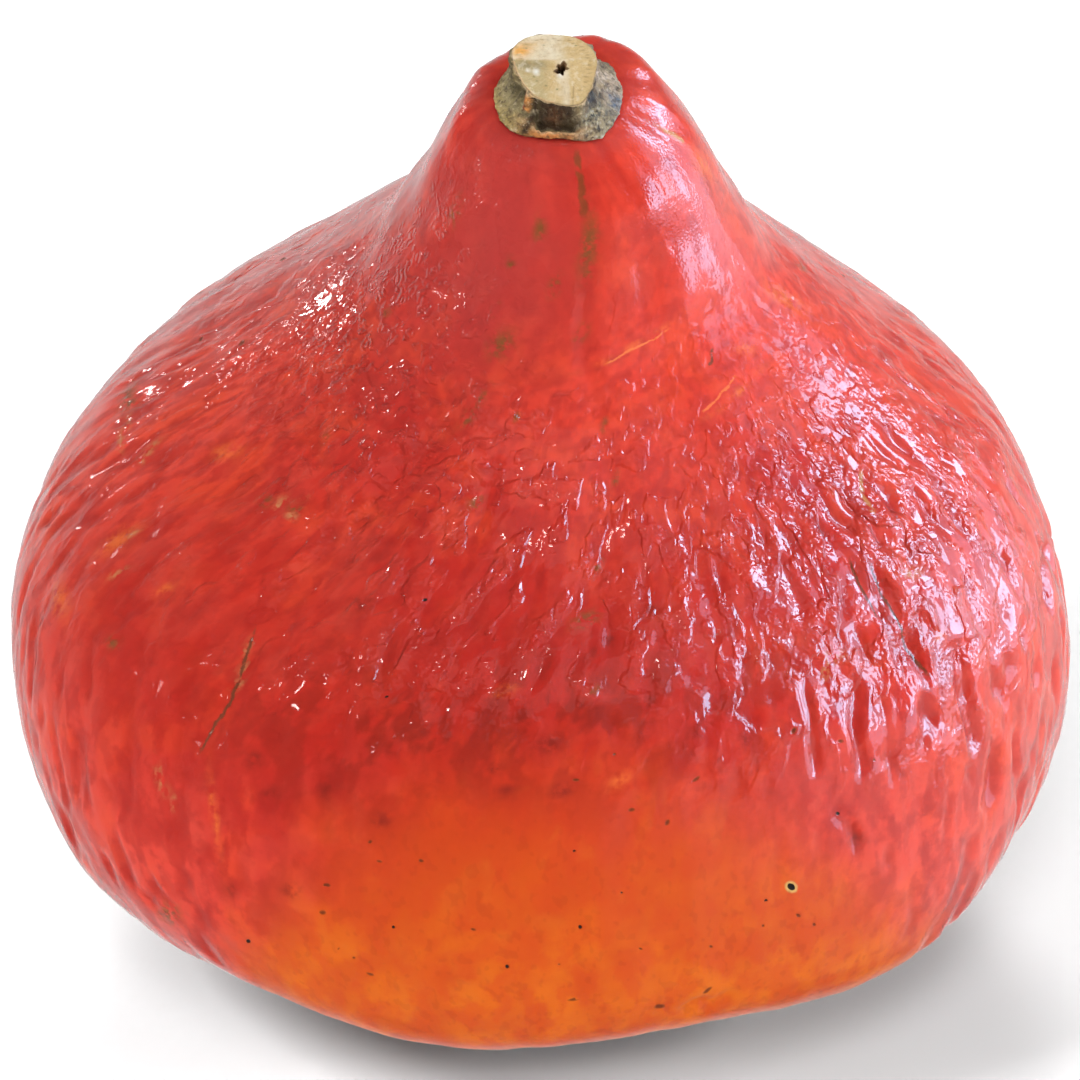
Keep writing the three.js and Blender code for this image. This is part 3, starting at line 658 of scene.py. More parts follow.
# ------------------------------------------------------------------ skin
def skin_material():
    k = Nodes("squash_skin")
    geo = k.new("ShaderNodeTexCoord").outputs["Object"]
    mm = k.vec("SCALE", geo, scale=1000.0)  # object coordinates in millimetres
    mer = k.attr("mer").outputs["Vector"]
    streak = k.vec("MULTIPLY", mer, (1.0, 1.0, 0.16))
    orange, band, neck = k.xyz(k.attr("zone_a").outputs["Vector"])
    rough, spark, flank = k.xyz(k.attr("zone_b").outputs["Vector"])
    maroon_m, olive_m, orange_m = k.xyz(k.attr("soft_a").outputs["Vector"])
    tan_m, grey_m, shaded_collar = k.xyz(k.attr("soft_b").outputs["Vector"])

    cluster_p, bloom_sheen_p, patch_p = k.xyz(k.attr("pat_a").outputs["Vector"])
    blot_p, goose_p, zig_p = k.xyz(k.attr("pat_b").outputs["Vector"])
    big, mid, swell_highlight = k.xyz(k.attr("pat_c").outputs["Vector"])
    # One fine noise frays the edges of all the patches.
    fray = k.noise(mm, 1.8, 3.0, 0.68)
    frayed = k.math("MULTIPLY_ADD", fray, 7.0, -3.5)
    lines = k.noise(streak, 2.2, 1.0, 0.6)
    freck = k.noise(k.vec("MULTIPLY", mer, (1, 1, 0.7)), 1.5, 1.0, 0.55)

    # Red field, from deep red to orange-red; brighter on the upper and the +X side, which is painted light where the
    # light falls.
    lit_vivid, pale, deep = k.xyz(k.attr("zone_c").outputs["Vector"])
    red = k.mix(k.range(big, -1.5, 1.5), (0.54, 0.016, 0.008), (0.64, 0.030, 0.012))
    red = k.mix(lit_vivid, red, (0.74, 0.046, 0.020))
    # Painted rim light: paler red along the silhouettes, and in two low patches at the front.
    red = k.mix(k.mul(pale, 0.75), red, (0.80, 0.075, 0.045))
    red = k.mix(k.mul(k.range(mid, 0.0, 1.8), 0.45), red, (0.78, 0.070, 0.016))
    patch = k.add(patch_p, k.mul(frayed, 0.25))
    zig = k.add(zig_p, k.mul(frayed, 0.45))
    red = k.mix(k.mul(k.range(patch, 0.5, -1.0), k.math("MULTIPLY_ADD", lit_vivid, -0.25, 0.50)), red, (0.40, 0.010, 0.006))
    red = k.mix(k.mul(k.range(zig, 0.3, -1.3), k.math("MULTIPLY_ADD", lit_vivid, -0.12, 0.36)), red, (0.40, 0.011, 0.007))
    red = k.mix(k.mul(k.range(zig, 0.7, 1.9), 0.20), red, (0.80, 0.085, 0.045))
    red = k.mix(k.mul(deep, 0.70), red, (0.47, 0.012, 0.006))
    # Paler pink where the skin is finely wrinkled, and in wider patches of waxy bloom: painted sheen, standing in for
    # the glow of their small reflections.
    cluster = k.range(k.add(cluster_p, k.mul(frayed, 0.15)), -0.55, 0.45)
    cluster_h = k.range(cluster_p, -0.10, 0.80)
    sheen_haze = k.mul(cluster, k.math("MULTIPLY_ADD", rough, 0.95, 0.02))
    bloom_sheen = k.range(k.add(bloom_sheen_p, k.mul(frayed, 0.2)), 0.0, 0.8)
    red = k.mix(k.mul(sheen_haze, 0.12), red, (0.68, 0.115, 0.075))
    red = k.mix(k.mul(bloom_sheen, 0.08), red, (0.74, 0.12, 0.08))
    dent_shade, pit_shade, furrow_shade = k.xyz(k.attr("zone_d").outputs["Vector"])
    # Painted shade: darker red down in the dents and pits.
    red = k.mix(k.mul(dent_shade, 0.40), red, (0.40, 0.012, 0.007))
    red = k.mix(k.mul(pit_shade, 0.50), red, (0.32, 0.012, 0.006))
    # Painted highlight: paler red on the raised relief.
    red = k.mix(k.mul(k.range(swell_highlight, 0.0, 0.8), 0.12), red, (0.80, 0.095, 0.055))
    # Ripe orange side that lay on the ground.
    down_o = k.range(k.xyz(mer)[2], 62.0, 100.0)
    oran = k.mix(k.range(mid, -1.3, 1.5), (0.63, 0.088, 0.004), (0.71, 0.135, 0.005))
    oran = k.mix(down_o, oran, (0.58, 0.050, 0.004))
    oran = k.mix(k.mul(k.range(zig, 0.9, -1.1), 0.50), oran, (0.60, 0.050, 0.005))
    oran = k.mix(k.mul(k.range(patch, 0.6, 2.2), 0.25), oran, (0.70, 0.16, 0.012))
    colour = k.mix(orange, red, oran)
    # Dark blotches above it.
    blot = k.add(blot_p, k.mul(frayed, 0.2))
    dark = k.mul(k.range(blot, 0.5, -1.1), band)
    colour = k.mix(k.mul(band, 0.45), colour, (0.47, 0.016, 0.006))
    colour = k.mix(k.mul(dark, 0.75), colour, (0.26, 0.012, 0.004))
    colour = k.mix(k.mul(k.range(freck, 0.44, 0.34), k.add(k.mul(orange, 0.16), k.mul(band, 0.16))), colour, (0.36, 0.020, 0.006))
    # Neck: painted shade, deeper red along the bottoms of its furrows, and faint deeper streaks.
    colour = k.mix(k.mul(neck, furrow_shade, 0.45), colour, (0.42, 0.012, 0.008))
    colour = k.mix(k.mul(neck, k.range(lines, 0.60, 0.42), 0.20), colour, (0.44, 0.012, 0.008))

    matt, mauve, _ = k.xyz(k.attr("matt").outputs["Vector"])
    colour = k.mix(k.mul(mauve, 0.80), colour, (0.47, 0.046, 0.040))

    # Stains, and a painted shadow in a ring round the stem's foot.
    breakup = k.range(fray, 0.30, 0.62)
    colour = k.mix(k.mul(maroon_m, breakup, 0.85), colour, (0.24, 0.012, 0.006))
    colour = k.mix(k.mul(orange_m, breakup, 0.75), colour, (0.80, 0.16, 0.03))
    colour = k.mix(k.mul(olive_m, k.range(fray, 0.40, 0.58), 0.95), colour, (0.20, 0.075, 0.018))
    colour = k.mix(k.mul(grey_m, 0.6), colour, (0.33, 0.13, 0.07))
    colour = k.mix(k.mul(shaded_collar, 0.30), colour, (0.30, 0.020, 0.012))
    colour = k.mix(k.mul(tan_m, k.range(fray, 0.58, 0.42), 0.9), colour, (0.56, 0.24, 0.10))

    # Small hard marks.
    mark = k.attr("mark").outputs["Vector"]
    mu, mv, code = k.xyz(mark)
    mw = k.math("GREATER_THAN", k.attr("mark_w").outputs["Fac"], 0.999)
    flatuv = k.new("ShaderNodeCombineXYZ")
    k.put(flatuv.inputs[0], mu)
    k.put(flatuv.inputs[1], mv)
    rad = k.add(k.vec("LENGTH", flatuv.outputs[0]), k.math("MULTIPLY_ADD", freck, 1.1, -0.55))
    inside = k.mul(k.range(rad, 1.15, 0.65), mw)
    is_black = k.math("LESS_THAN", code, 0.5)
    is_ring = k.math("GREATER_THAN", code, 1.5)
    is_brown = k.mul(k.math("SUBTRACT", 1.0, is_black), k.math("SUBTRACT", 1.0, is_ring))
    brown_c = k.mix(k.range(rad, 0.2, 0.9), (0.085, 0.022, 0.007), (0.26, 0.050, 0.010))
    ring_c = k.mix(k.range(rad, 0.46, 0.56), (0.012, 0.006, 0.004), (0.62, 0.34, 0.11))
    colour = k.mix(k.mul(inside, is_black), colour, (0.020, 0.009, 0.006))
    colour = k.mix(k.mul(inside, is_brown, 0.8), colour, brown_c)
    colour = k.mix(k.mul(inside, is_ring), colour, ring_c)

    # Cracks, scars and scratches. Codes: 0 dark crack, darkened with painted shade down in the crack, 1 pale scratch, 2
    # olive seam, 3 tan scar.
    ld, lt, lcode = k.xyz(k.attr("line").outputs["Vector"])
    lw = k.math("GREATER_THAN", k.attr("line_w").outputs["Fac"], 0.999)
    dist = k.math("ABSOLUTE", k.add(ld, k.math("MULTIPLY_ADD", fray, 1.2, -0.6)))
    ends = k.mul(k.range(lt, 0.0, 0.12), k.range(lt, 1.0, 0.90))
    gaps = k.range(freck, 0.30, 0.46)

    def line_mask(c, wide):
        near = k.math("LESS_THAN", k.math("ABSOLUTE", k.math("SUBTRACT", lcode, float(c))), 0.5)
        return k.mul(k.range(dist, wide, wide * 0.35), lw, near, ends)

    crack, scratch, seam, scar = line_mask(0, 0.36), line_mask(1, 0.26), line_mask(2, 0.75), line_mask(3, 0.5)
    colour = k.mix(k.mul(crack, gaps, 0.85), colour, (0.15, 0.040, 0.014))
    colour = k.mix(k.mul(scratch, gaps, 0.6), colour, (0.86, 0.22, 0.06))
    colour = k.mix(k.mul(seam, gaps, 0.75), colour, (0.20, 0.055, 0.016))
    colour = k.mix(k.mul(scar, gaps, 0.8), colour, (0.58, 0.25, 0.09))

    # Height in millimetres: goose-flesh crinkles in clusters over a faint orange peel, a finer grain on the neck, and
    # the relief of the marks.
    calm = k.math("SUBTRACT", 1.0, k.mul(orange, 0.75))
    amount = k.mul(cluster_h, k.math("MULTIPLY_ADD", rough, 0.95, 0.05), calm)
    fine = k.noise(mm, 1.15, 0.0)
    # A bloom too fine to see spreads the gloss of the neck.
    peel = k.add(k.mul(fine, 0.02), k.mul(k.noise(mm, 0.34, 0.0), k.math("MULTIPLY_ADD", neck, 0.030, 0.003)))
    billow = k.noise(mm, 2.6, 2.0, 0.72)
    crinkle = k.mul(billow, k.add(amount, k.mul(k.add(tan_m, olive_m), 0.25)), 0.85)
    goose = k.mul(k.math("ABSOLUTE", k.math("SUBTRACT", fine, 0.5)), spark, k.range(goose_p, -0.2, 0.5), 1.35)
    spot = k.mul(k.range(k.vec("LENGTH", flatuv.outputs[0]), 1.15, 0.65), mw)
    height = k.add(peel, crinkle, goose, k.mul(spot, k.math("MULTIPLY_ADD", is_ring, 0.10, -0.06)))
    normal = k.bump(height)

    dull = k.add(k.mul(tan_m, 0.3), k.mul(inside, 0.25), k.mul(grey_m, 0.25), k.mul(shaded_collar, 0.45))
    roughness = k.add(k.range(mid, -1.8, 1.8, 0.52, 0.66, "LINEAR"), k.mul(neck, -0.30), dull)
    bs = k.new("ShaderNodeBsdfPrincipled")
    k.put(bs.inputs["Base Color"], colour)
    k.put(bs.inputs["Roughness"], roughness)
    k.put(bs.inputs["Normal"], normal)
    k.put(bs.inputs["Coat Normal"], normal)
    coat = k.math("SUBTRACT", k.math("SUBTRACT", 0.80, k.mul(orange, 0.45)), k.math("MULTIPLY", dull, 1.2), clamp=True)
    coat = k.mul(coat, k.math("MULTIPLY_ADD", matt, -0.92, 1.0), k.math("MULTIPLY_ADD", neck, -0.22, 1.0))
    k.put(bs.inputs["Coat Weight"], coat)
    bs.inputs["Coat Roughness"].default_value = 0.055
    bs.inputs["Coat IOR"].default_value = 1.5
    bs.inputs["Specular IOR Level"].default_value = 0.14
    bs.inputs["IOR"].default_value = 1.45
    out = k.new("ShaderNodeOutputMaterial")
    k.put(out.inputs["Surface"], bs.outputs[0])
    return k.mat


fruit.data.materials.append(skin_material())
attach(fruit, "root")
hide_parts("fruit")

# ------------------------------------------------------------------ stem stub
# Its own frame stands on the seat: x as the fruit's, y towards the back, z along the stub.
SPREAD = [9.3, 9.2, 8.9, 8.5, 8.2, 8.2, 8.2, 8.5, 9.1, 9.4, 9.9, 9.6, 9.2, 10.2, 10.2, 9.5]
CUT = [5.7, 5.75, 6.0, 6.35, 6.4, 7.0, 7.4, 7.2, 6.45, 6.1, 6.3, 6.7, 6.95, 7.7, 6.6, 5.75]
SN = 320
SD = np.linspace(0, 360, SN, endpoint=False)
SR = np.radians(SD)


def around(table):
    n = len(table)
    f = SD / 360 * n
    i = np.floor(f).astype(int)
    t = f - i
    a, b, c, d = (np.array(table)[(i + j) % n] for j in (-1, 0, 1, 2))
    return b + .5 * t * (c - a + t * (2 * a - 5 * b + 4 * c - d + t * (3 * (b - c) + d - a)))


ring3 = np.stack([3 * np.cos(SR), 3 * np.sin(SR), np.zeros(SN)], -1)
B = around(SPREAD) * (1 + 0.022 * fbm(ring3 * 1.4, 61, 3))
C = around(CUT) * (1 + 0.016 * fbm(ring3 * 1.6, 62, 3))
ST = np.concatenate([[-3, -2, -1], np.linspace(0, 1, 76), 1 + np.linspace(0.016, 1, 62), 2 + np.linspace(0.09, 1, 11)])
TT, DD = np.meshgrid(ST, SD, indexing="ij")
RD = np.radians(DD)


def cut_top(x, y):
    return 6.7 - 0.13 * np.maximum(0, y - 0.5) - 0.20 * np.maximum(0, 0.5 - y)


zt = cut_top(C * np.cos(SR), C * np.sin(SR))
front = np.clip(ramp(SD, 238, 250) * ramp(SD, 296, 282), 0, 1)
knots = [0, .10, .2, .3, .42, .58, .85, .96, 1.0]
spread_p = [(B, .25 + 0 * B), (B, .75 + 0 * B), (.6 * B + .4 * C, 1.6 + 0 * B), (.42 * B + .58 * C, 2.1 + 0 * B),
            (.22 * B + .78 * C, 2.7 + 0 * B), (.05 * B + .95 * C, 3.7 + 0 * B), (C, zt - 0.75), (C, zt - .15), (C * .985, zt)]
front_p = [(B * .96, .25 + 0 * B), (B, .75 + 0 * B), (B * .965, 1.5 + 0 * B), (B * .88, .85 + 0 * B),
           (C + .35, 1.0 + 0 * B), (C + .12, 2.4 + 0 * B), (C - .1, zt - 0.6), (C, zt - .12), (C * .99, zt)]
rw, zw = np.zeros(TT.shape), np.zeros(TT.shape)
tw = np.clip(TT, 0, 1)
for j in range(SN):
    w = front[j]
    pr = [(1 - w) * a[0][j] + w * b[0][j] for a, b in zip(spread_p, front_p)]
    pz = [(1 - w) * a[1][j] + w * b[1][j] for a, b in zip(spread_p, front_p)]
    rw[:, j] = np.interp(tw[:, j], knots, pr)
    zw[:, j] = np.interp(tw[:, j], knots, pz)
X, Y = rw * np.cos(RD), rw * np.sin(RD)
Z = zw.copy()
# Underside.
for row, kk in ((0, .3), (1, .62), (2, .9)):
    X[row], Y[row], Z[row] = kk * B * np.cos(SR), kk * B * np.sin(SR), 0.22
# Cut face: from its edge in to the ragged pith hole, then down the hole.
hole = 0.86 - 0.20 * np.cos(2 * SR + 1.1) + 0.17 * np.cos(5 * SR + 0.4) + 0.10 * np.cos(9 * SR)
hx, hy = 0.50, -0.95
q = np.clip(TT - 1, 0, 1)
ex, ey = C * .985 * np.cos(SR), C * .985 * np.sin(SR)
ix, iy = hx + hole * np.cos(SR), hy + hole * np.sin(SR)
face = (TT > 1) & (TT <= 2)
FX, FY = ex + (ix - ex) * q, ey + (iy - ey) * q
X, Y = np.where(face, FX, X), np.where(face, FY, Y)
Z = np.where(face, cut_top(FX, FY), Z)
inn = TT > 2
down = np.clip(TT - 2, 0, 1)
kx, ky = hx + (ix - hx) * (1 - .72 * down), hy + (iy - hy) * (1 - .72 * down)
X, Y = np.where(inn, kx, X), np.where(inn, ky, Y)
Z = np.where(inn, cut_top(hx, hy) - 2.7 * down ** 0.8, Z)
SP = np.stack([X, Y, Z], -1)
wall = ((TT >= 0) & (TT <= 1)).astype(float)
mid_w = wall * ramp(TT, -0.02, .08) * ramp(TT, 1.0, .93)
bark = fbm(np.stack([X * .9, Y * .9, Z * .45], -1), 63, 3)
ribs = fbm(np.stack([5.5 * np.cos(RD), 5.5 * np.sin(RD), 0.35 * TT], -1), 64, 2)
lumps = fbm(SP * 0.75, 65, 2)
frontw = np.broadcast_to(front, TT.shape)
out = mid_w * (0.42 * bark + 0.60 * ribs * (1 - .7 * frontw) + 0.40 * lumps)
flake = bell(DD, 231.5, 3.6) * ramp(TT, .36, .52) * ramp(TT, 1.01, .95)
out = out + 0.95 * flake
chip = bell(DD, 305, 5) * bell(TT, 0.12, .09)
out = out + 0.9 * chip * wall
out = out - wall * 0.5 * bell(DD, 242, 3.5) * ramp(TT, .05, .3) * ramp(TT, 1.0, .8)
# The lip under the front wall is ragged.
lip = frontw * bell(TT, .2, .07)
Z = Z + wall * lip * (0.35 * fbm(ring3 * 3.2, 66, 2) + 0.1)
X, Y = X + out * np.cos(RD), Y + out * np.sin(RD)
facerel = 0.09 * fbm(np.stack([X * .8, Y * .8, 0 * X], -1), 67, 3) + 0.03 * fbm(np.stack([X * 3, Y * 3, 0 * X], -1), 68, 2)
rimlift = 0.16 * bell(q, 0.0, 0.035)
Z = Z + np.where(face, (facerel + rimlift * 0.6) * ramp(q, -0.01, 0.03), 0)
Z = np.where((TT >= 0), np.maximum(Z, 0.22), Z)
SP = np.stack([X, Y, Z], -1)

# Colours of the cut face and the corky bark.
def blend(base, over, f):
    f = np.clip(f, 0, 1)[..., None]
    return base * (1 - f) + np.array(over) * f


def spot(x, y, rx, ry, deg=0, p=2.0):
    c, sn = math.cos(math.radians(deg)), math.sin(math.radians(deg))
    u, v = (X - x) * c + (Y - y) * sn, -(X - x) * sn + (Y - y) * c
    return np.exp(-np.hypot(u / rx, v / ry) ** p)


def ns(seed, size, oct=2):
    return fbm(SP / size, seed, oct)


rad_f = np.hypot(X - hx, Y - hy)
edge = 1 - q
ang = np.degrees(np.arctan2(Y - hy, X - hx))
fibre = fbm(np.stack([ang / 3.2, rad_f / 2.5, 0 * X], -1), 71, 2)
fc = blend(np.ones(SP.shape) * (.66, .52, .30), (.58, .40, .17), .5 + .9 * ns(72, 2.2))
# Paler cream over the upper left of the cut face: partly paler pith, partly painted light on the upper facet.
fc = blend(fc, (.80, .70, .52), .95 * ramp(Y, .2, .9) * ramp(X, 1.6, -.8) * (.75 + .4 * ns(73, 1.2)))
fc = blend(fc, (.66, .47, .22), .8 * ramp(Y, .3, .9) * ramp(X, .3, 2.2))
fc = blend(fc, (.85, .40, .07), 1.1 * spot(-5.3, 2.6, 1.5, 1.3, 40))
fc = blend(fc, (.72, .47, .20), .7 * spot(-3.6, 3.9, 1.8, .8, 20))
# Lower facet: darker than the upper one, painted shade where it tilts away from the light, deepest at its left; then
# its own lighter and darker streaks.
lowf = ramp(Y, .7, .3)
fc = blend(fc, (.48, .38, .19), .75 * lowf * ramp(X, -.6, -2.4))
fc = blend(fc, (.17, .13, .055), .85 * lowf * spot(-4.0, -.35, 2.3, .75, -3) * (.7 + .8 * ns(74, .8)))
fc = blend(fc, (.70, .58, .40), .7 * lowf * np.exp(-((X - .9 + .12 * (Y + 3)) / .8) ** 2))
fc = blend(fc, (.62, .44, .20), .85 * lowf * ramp(X, 1.5, 2.1))
fc = blend(fc, (.33, .20, .07), .7 * lowf * np.exp(-((X - 2.2 - .04 * (Y + 5)) / .12) ** 2) * ramp(Y, -3.2, -4.4))
fc = blend(fc, (.86, .86, .80), .9 * (spot(-3.1, -1.5, .42, .5) + .7 * spot(-4.3, -1.3, .3, .3) + .8 * spot(.4, -1.9, .5, .7)))
for gx, gy in ((-3.0, -3.0), (-1.7, -3.8), (-.1, -4.4), (-3.4, -2.3), (2.6, 3.8), (-4.5, 3.2), (-2.0, 3.9)):
    fc = blend(fc, (.16, .15, .04), .85 * spot(gx, gy, .17, .14))
# Ring of vessels near the rim.
edge_share = np.hypot(X, Y) / np.interp(np.degrees(np.arctan2(Y, X)) % 360, np.append(SD, 360), np.append(C, C[0]))
for i in range(30):
    a = math.radians(-72 + i * 8.4)
    rv = float(np.interp(math.degrees(a) % 360, SD, C)) * (.80 + .03 * math.sin(i * 2.3))
    hit = spot(rv * math.cos(a), rv * math.sin(a), .34, .13, 4 * math.sin(i * 1.7), 2)
    fc = blend(fc, (.36, .22, .075), (.75 if i % 3 else .35) * hit)
fc = blend(fc, (.30, .22, .09), .30 * np.clip(fibre, 0, 1) * ramp(rad_f, 1.5, 4))
fc = blend(fc, (.84, .76, .60), .25 * np.clip(-fibre, 0, 1))
fc = blend(fc, (.80, .52, .26), .75 * ramp(edge_share, .93, .97) * ((ang < -100) | (ang > 170)))
fc = blend(fc, (.10, .055, .02), .95 * ramp(edge_share, .955, .985) * bell(turn(np.degrees(np.arctan2(Y, X)), 68), 0, 17))
# Darker brown towards the pith hole; down the hole, painted shade deepening to near black, with lighter brown near the
# top of its +X wall.
fc = blend(fc, (.22, .10, .03), .9 * ramp(rad_f / np.interp(ang % 360, np.append(SD, 360), np.append(hole, hole[0])), 1.22, 1.0))
hc = blend(np.ones(SP.shape) * (.14, .06, .022), (.016, .008, .004), ramp(down, .05, .4))
hc = blend(hc, (.42, .20, .06), .8 * ramp(down, .6, .1) * bell(turn(DD, 5), 0, 38))

# Bark.
n1, n2, n3 = ns(81, 1.3), ns(82, .55), ns(83, 3.0)
wc = blend(np.ones(SP.shape) * (.33, .25, .11), (.13, .095, .035), .55 + .8 * n1)
wc = blend(wc, (.55, .40, .13), ramp(n2 + .5 * n1, .15, .7) * .8)
left = bell(turn(DD, 200), 0, 30)
wc = blend(wc, (.46, .37, .19), .8 * left * bell(TT, .30, .16))
wc = blend(wc, (.66, .47, .14), .85 * left * ramp(TT, .30, .02) * (.65 + .7 * n2))
wc = blend(wc, (.085, .075, .035), .85 * left * bell(TT, .62, .20) * (.75 + .6 * n1))
rightf = np.clip(bell(turn(DD, 355), 0, 40), 0, 1)
wc = blend(wc, (.52, .39, .31), .85 * rightf * (.75 + .6 * n1))
wc = blend(wc, (.13, .085, .070), .9 * rightf * ramp(ribs + .5 * n2, .05, .40))
wc = blend(wc, (.74, .64, .54), .8 * rightf * ramp(-ribs + .6 * n2, .15, .5))
wc = blend(wc, (.66, .56, .46), .7 * rightf * ramp(TT, .14, .02))
purple = bell(turn(DD, 318), 0, 13) * ramp(TT, .28, .42)
wc = blend(wc, (.040, .028, .032), 1.2 * purple * (.8 + .6 * n1))
mould = bell(turn(DD, 308), 0, 14) * ramp(TT, .52, .40)
wc = blend(wc, (.36, .30, .19), .9 * mould)
wc = blend(wc, (.030, .032, .034), mould * ramp(n2 + .25 * n1, .02, .28))
wc = blend(wc, (.58, .57, .52), .8 * mould * ramp(n2, -.2, -.5))
blue = bell(turn(DD, 344), 0, 7) * bell(TT, .12, .10)
wc = blend(wc, (.13, .21, .33), 1.1 * blue * (.6 + .8 * n2))
wc = blend(wc, (.62, .60, .62), .8 * bell(turn(DD, 334), 0, 9) * ramp(TT, .10, .02))
# Front wall under the cut face: near-black painted shade, where it sits back in a recess.
wc = blend(wc, (.040, .022, .010), .97 * frontw * ramp(TT, .30, .36) * ramp(TT, 1.005, .955))
wc = blend(wc, (.150, .052, .018), .8 * bell(turn(DD, 266), 0, 7) * bell(TT, .62, .18) * (.8 + .5 * n1))
wc = blend(wc, (.075, .055, .025), .6 * frontw * bell(TT, .50, .1) * bell(turn(DD, 282), 0, 8))
lipc = np.clip(bell(turn(DD, 262), 0, 17), 0, 1) * ramp(TT, .31, .26)
wc = blend(wc, (.56, .19, .045), 1.25 * lipc * (.8 + .5 * n1))
wc = blend(wc, (.86, .58, .30), .9 * lipc * bell(TT, .215, .03))
# Painted shadow along the foot of the lip.
wc = blend(wc, (.16, .05, .015), .8 * lipc * ramp(TT, .07, .0))
fl_r = bell(DD, 233.5, 2.4) * ramp(TT, .34, .46)
fl_l = bell(DD, 228.3, 2.0) * ramp(TT, .34, .46)
wc = blend(wc, (.76, .33, .09), 1.1 * fl_r)
wc = blend(wc, (.36, .085, .018), 1.1 * fl_l)
# Painted shade in the groove beside the flake.
wc = blend(wc, (.030, .015, .008), .9 * bell(DD, 240, 3.0) * ramp(TT, .04, .12) * ramp(TT, 1.0, .93))
# Painted shadow round the foot of the stub, where it meets the skin.
wc = blend(wc, (.05, .03, .015), .75 * ramp(TT, .06, 0))
wc = blend(wc, (.72, .50, .26), .8 * ramp(TT, .955, .985) * (1 - bell(turn(DD, 68), 0, 30)))
stem_col = np.where((TT > 2)[..., None], hc, np.where((TT > 1)[..., None], fc, wc))
stem_col = np.clip(stem_col, 0.002, 0.95)

th = LEAN * smooth((SEAT_H - BEND_FROM) / (BEND_TO - BEND_FROM))
seat = surface(0.0, SEAT_H, 0.0)
bx, ax = np.array([0, math.cos(th), math.sin(th)]), np.array([0, -math.sin(th), math.cos(th)])
stem_xyz = lambda p: seat + p[..., :1] * np.array([1.0, 0, 0]) + p[..., 1:2] * bx + p[..., 2:3] * ax
stem, s_loops, s_quads, s_cols = grid_mesh("stem_stub", stem_xyz(SP), stem_xyz(np.array([0, 0, 0.22])),
                                           stem_xyz(np.array([hx, hy, cut_top(hx, hy) - 2.75])))
put(stem.data, "tint", "FLOAT_VECTOR", stem_col)
put(stem.data, "part", "FLOAT_VECTOR", np.stack([face.astype(float), frontw * wall, rightf * wall], -1))
put(stem.data, "own", "FLOAT_VECTOR", SP)


def stem_material():
    k = Nodes("dry_stem")
    own = k.attr("own").outputs["Vector"]
    tint = k.attr("tint").outputs["Vector"]
    is_face, is_front, is_right = k.xyz(k.attr("part").outputs["Vector"])
    fine = k.noise(own, 0.32, 3.0, 0.65)
    coarse = k.noise(own, 1.1, 3.0, 0.6)
    bark = k.math("SUBTRACT", 1.0, is_face)
    flecks = k.noise(own, 0.9, 3.0, 0.62)
    quiet_front = k.math("MULTIPLY_ADD", is_front, -0.75, 1.0)
    colour = k.mix(k.range(fine, 0.42, 0.70, 0.0, 0.16), tint, (0.22, 0.15, 0.07))
    colour = k.mix(k.mul(k.range(coarse, 0.52, 0.66), is_face, 0.35), colour, (0.46, 0.29, 0.10))
    colour = k.mix(k.mul(k.range(coarse, 0.47, 0.34), is_face, 0.35), colour, (0.80, 0.72, 0.55))
    colour = k.mix(k.mul(k.range(coarse, 0.50, 0.36), bark, 0.55), colour, (0.070, 0.045, 0.022))
    colour = k.mix(k.mul(k.range(coarse, 0.55, 0.68), bark, quiet_front, 0.40), colour, (0.60, 0.50, 0.33))
    colour = k.mix(k.mul(k.range(flecks, 0.44, 0.34), bark, 0.50), colour, (0.035, 0.022, 0.014))
    colour = k.mix(k.mul(k.range(flecks, 0.58, 0.68), bark, quiet_front, 0.45), colour, (0.74, 0.60, 0.40))
    height = k.add(k.mul(fine, k.math("MULTIPLY_ADD", bark, 0.20, 0.07)), k.mul(coarse, bark, 0.65), k.mul(flecks, bark, 0.35))
    bs = k.new("ShaderNodeBsdfPrincipled")
    k.put(bs.inputs["Base Color"], colour)
    k.put(bs.inputs["Roughness"], k.range(coarse, 0.3, 0.7, 0.62, 0.85, "LINEAR"))
    k.put(bs.inputs["Normal"], k.bump(height))
    bs.inputs["Specular IOR Level"].default_value = 0.25
    out = k.new("ShaderNodeOutputMaterial")
    k.put(out.inputs["Surface"], bs.outputs[0])
    return k.mat


stem.data.materials.append(stem_material())
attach(stem, "root")
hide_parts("stem")

# ------------------------------------------------------------------ floor, light and camera
bpy.ops.mesh.primitive_plane_add(size=12, location=(0, 0, -0.0002))
floor = bpy.context.object
floor.name = "floor"
fl = Nodes("pale_floor")
fb = fl.new("ShaderNodeBsdfPrincipled")
# The lamps near the fruit light the middle of the floor; beyond them the floor itself is pale.
out_there = fl.range(fl.vec("LENGTH", fl.new("ShaderNodeTexCoord").outputs["Object"]), 1.5, 2.1)
fl.put(fb.inputs["Base Color"], fl.mix(out_there, (0.11, 0.11, 0.11), (0.88, 0.88, 0.88)))
fb.inputs["Roughness"].default_value = 0.9
fb.inputs["Specular IOR Level"].default_value = 0.0
fb.inputs["Emission Color"].default_value = (1, 1, 1, 1)
fb.inputs["Emission Strength"].default_value = 0.015
fo = fl.new("ShaderNodeOutputMaterial")
fl.put(fo.inputs["Surface"], fb.outputs[0])
floor.data.materials.append(fl.mat)

world = bpy.data.worlds.new("studio")
bpy.context.scene.world = world
world.use_nodes = True
wt = world.node_tree
paths = wt.nodes.new("ShaderNodeLightPath")
way = wt.nodes.new("ShaderNodeTexCoord")
split = wt.nodes.new("ShaderNodeSeparateXYZ")
wt.links.new(way.outputs["Generated"], split.inputs[0])


def eased(value, a, b, lo, hi):
    n = wt.nodes.new("ShaderNodeMapRange")
    n.interpolation_type = "SMOOTHSTEP"
    wt.links.new(value, n.inputs[0])
    for i, v in enumerate((a, b, lo, hi)):
        n.inputs[i + 1].default_value = v
    return n.outputs[0]


